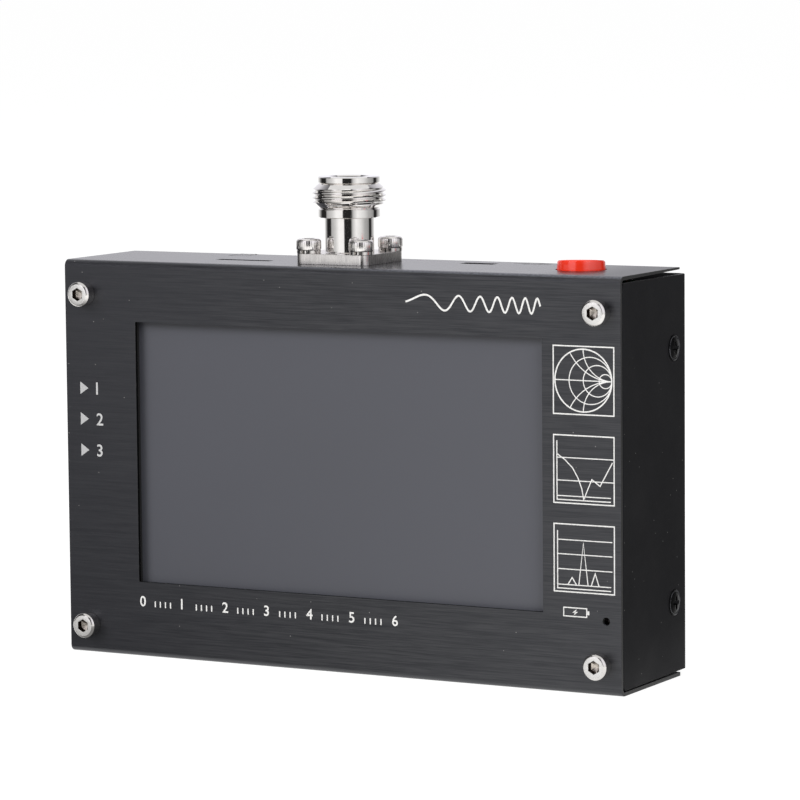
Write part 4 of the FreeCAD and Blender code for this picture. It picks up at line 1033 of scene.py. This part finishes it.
# -------- studio
world_light = 0.55  # what the white surroundings shed on the object
floor_reach = 30.0
floor_shade = 0.35
floor_glow = 0.84  # what the floor shows on top of the light that it reflects


def cleared(owner):
    """Empty node tree of a new world or material."""
    owner.use_nodes = True
    owner.node_tree.nodes.clear()
    return owner.node_tree


def shows(tree, shader, kind="ShaderNodeOutputMaterial"):
    """Makes a shader the tree's result."""
    tree.links.new(shader.outputs[0], tree.nodes.new(kind).inputs["Surface"])


def shown_strength(tree, lighting, shown):
    """Strength for the light that falls on things, or for the camera, reflections and glass."""
    path = tree.nodes.new("ShaderNodeLightPath")
    seen = path.outputs["Is Camera Ray"]
    for ray in ("Is Glossy Ray", "Is Transmission Ray"):
        either = tree.nodes.new("ShaderNodeMath")
        either.operation = "MAXIMUM"
        tree.links.new(seen, either.inputs[0])
        tree.links.new(path.outputs[ray], either.inputs[1])
        seen = either.outputs[0]
    strength = tree.nodes.new("ShaderNodeMapRange")
    strength.inputs["To Min"].default_value = lighting
    strength.inputs["To Max"].default_value = shown
    tree.links.new(seen, strength.inputs["Value"])
    return strength.outputs["Result"]


def make_world():
    """White surroundings, which light the object less than they show."""
    world = bpy.data.worlds.new("studio")
    tree = cleared(world)
    light = tree.nodes.new("ShaderNodeBackground")
    tree.links.new(shown_strength(tree, world_light, 1.0), light.inputs["Strength"])
    shows(tree, light, "ShaderNodeOutputWorld")
    bpy.context.scene.world = world


def make_floor():
    """Pale floor that keeps a soft shadow."""
    shape = bmesh.new()
    shape.faces.new([shape.verts.new((x * floor_reach, y * floor_reach, 0))
                     for x, y in ((-1, -1), (1, -1), (1, 1), (-1, 1))])
    material = bpy.data.materials.new("floor_white")
    tree = cleared(material)
    diffuse = tree.nodes.new("ShaderNodeBsdfDiffuse")
    diffuse.inputs["Color"].default_value = (floor_shade, floor_shade, floor_shade, 1)
    glow = tree.nodes.new("ShaderNodeEmission")
    tree.links.new(shown_strength(tree, 0.0, floor_glow), glow.inputs["Strength"])
    both = tree.nodes.new("ShaderNodeAddShader")
    tree.links.new(diffuse.outputs[0], both.inputs[0])
    tree.links.new(glow.outputs[0], both.inputs[1])
    shows(tree, both)
    floor = placed("floor", mesh_of("floor", shape, [material]))


def make_card(name, strips, brightness, tint=(1, 1, 1)):
    """Card that only reflections see, through strips of points.

    Its brightness is one number, or one for each pair of points along the first two strips.
    """
    shape = bmesh.new()
    rows = [[shape.verts.new(point) for point in strip] for strip in strips]
    for low, high in zip(rows, rows[1:]):
        for index in range(len(low) - 1):
            shape.faces.new((low[index], low[index + 1], high[index + 1], high[index]))
    material = bpy.data.materials.new(name)
    mesh = mesh_of(name, shape, [material])
    glows = brightness if isinstance(brightness, list) else [brightness] * len(strips[0])
    layer = mesh.color_attributes.new("glow", "FLOAT_COLOR", "POINT")
    for index, entry in enumerate(layer.data):
        value = glows[index % len(glows)]
        entry.color = (*(value * share for share in tint), 1)
    tree = cleared(material)
    painted = tree.nodes.new("ShaderNodeAttribute")
    painted.attribute_name = "glow"
    glow = tree.nodes.new("ShaderNodeEmission")
    tree.links.new(painted.outputs["Color"], glow.inputs["Color"])
    shows(tree, glow)
    card = placed(name, mesh)
    card.visible_camera = False
    card.visible_diffuse = False
    card.visible_shadow = False


# bright and dark cards round the object: azimuth in degrees, 0 straight in front and growing to the
# right, and the brightness there
room_round = (
    (-180, 0.74), (-152, 1.0), (-120, 0.77), (-109, 0.39), (-100, 0.16), (-93, 0.02), (-68, 0.02),
    (-62, 0.46), (-40, 0.68), (-20, 1.05), (3, 1.0), (6, 0.02), (36, 0.02), (45, 0.6), (60, 1.0),
    (85, 0.8), (106, 0.45), (119, 0.39), (131, 0.3), (134, 0.02), (149, 0.02), (158, 0.36),
    (168, 0.53), (180, 0.74))
room_distance = 0.6
room_split = 0.1  # height at which the upper card starts
room_top = 0.9
brighter_from, brighter_to = -35, 120  # azimuths at which the upper card is brighter
brighter = 1.14
cool_tint = (0.99, 0.98, 1.04)
card_height = 0.0003  # of the cards that lie on the floor
lamp_target = (0, 0, 0.05)
lamp_power = 16


def room_light(azimuth):
    """Brightness of the room in a direction."""
    for (start, first), (end, last) in zip(room_round, room_round[1:]):
        if start <= azimuth <= end:
            return first + (last - first) * (azimuth - start) / (end - start)


def upper_light(azimuth):
    """Brightness of the room's upper part in a direction."""
    return (brighter if brighter_from < azimuth < brighter_to else 1.0) * room_light(azimuth)


def round_card(name, azimuths, distance, low, high, brightness, tint=(1, 1, 1)):
    """Card bent round the socket, through azimuths in degrees."""
    turns = [math.radians(azimuth) for azimuth in azimuths]
    places = [(socket_x * MM + math.sin(turn) * distance, socket_y * MM - math.cos(turn) * distance)
              for turn in turns]
    make_card(name, [[(x, y, z) for x, y in places] for z in (low, high)], brightness, tint)


def floor_strip(places):
    """Strip of points on the floor."""
    return [(x, y, card_height) for x, y in places]


def make_lamp(name, place, size, power):
    """Soft square lamp aimed at the object."""
    data = bpy.data.lights.new(name, "AREA")
    data.shape = "SQUARE"
    data.size = size
    data.energy = power
    lamp = placed(name, data)
    lamp.location = place
    lamp.rotation_euler = (Vector(lamp_target) - Vector(place)).to_track_quat("-Z", "Y").to_euler()
    lamp.visible_glossy = False


make_camera()
make_world()
make_floor()
room_azimuths = list(range(-180, 181))
round_card("card_room", room_azimuths, room_distance, 0.0, room_split,
           [room_light(azimuth) for azimuth in room_azimuths])
round_card("card_upper", room_azimuths, room_distance, room_split, room_top,
           [upper_light(azimuth) for azimuth in room_azimuths], cool_tint)
round_card("card_panel", list(range(-80, -33, 2)), 0.55, 0.105, room_top, 0.15)
make_card("card_floor", [floor_strip([(x, -0.017) for x in (-0.3, -0.12, -0.05, 0.0, 0.05, 0.12)]),
                         floor_strip([(x, -0.72) for x in (-0.9, -0.6, -0.5, -0.42, -0.34, -0.22)])],
          [0.1, 0.13, 0.24, 0.55, 0.9, 1.2])
make_card("card_floor_side", [floor_strip([(0.08, 0.0), (0.08, 0.06), (0.16, 0.55)]),
                              floor_strip([(0.2, 0.0), (0.35, 0.2), (0.5, 0.5)])], 0.25)
make_lamp("key", (-0.9, -1.1, 0.8), 0.7, lamp_power)
make_lamp("fill", (1.3, -0.9, 0.9), 0.9, lamp_power)

bpy.context.scene.view_settings.view_transform = "Standard"
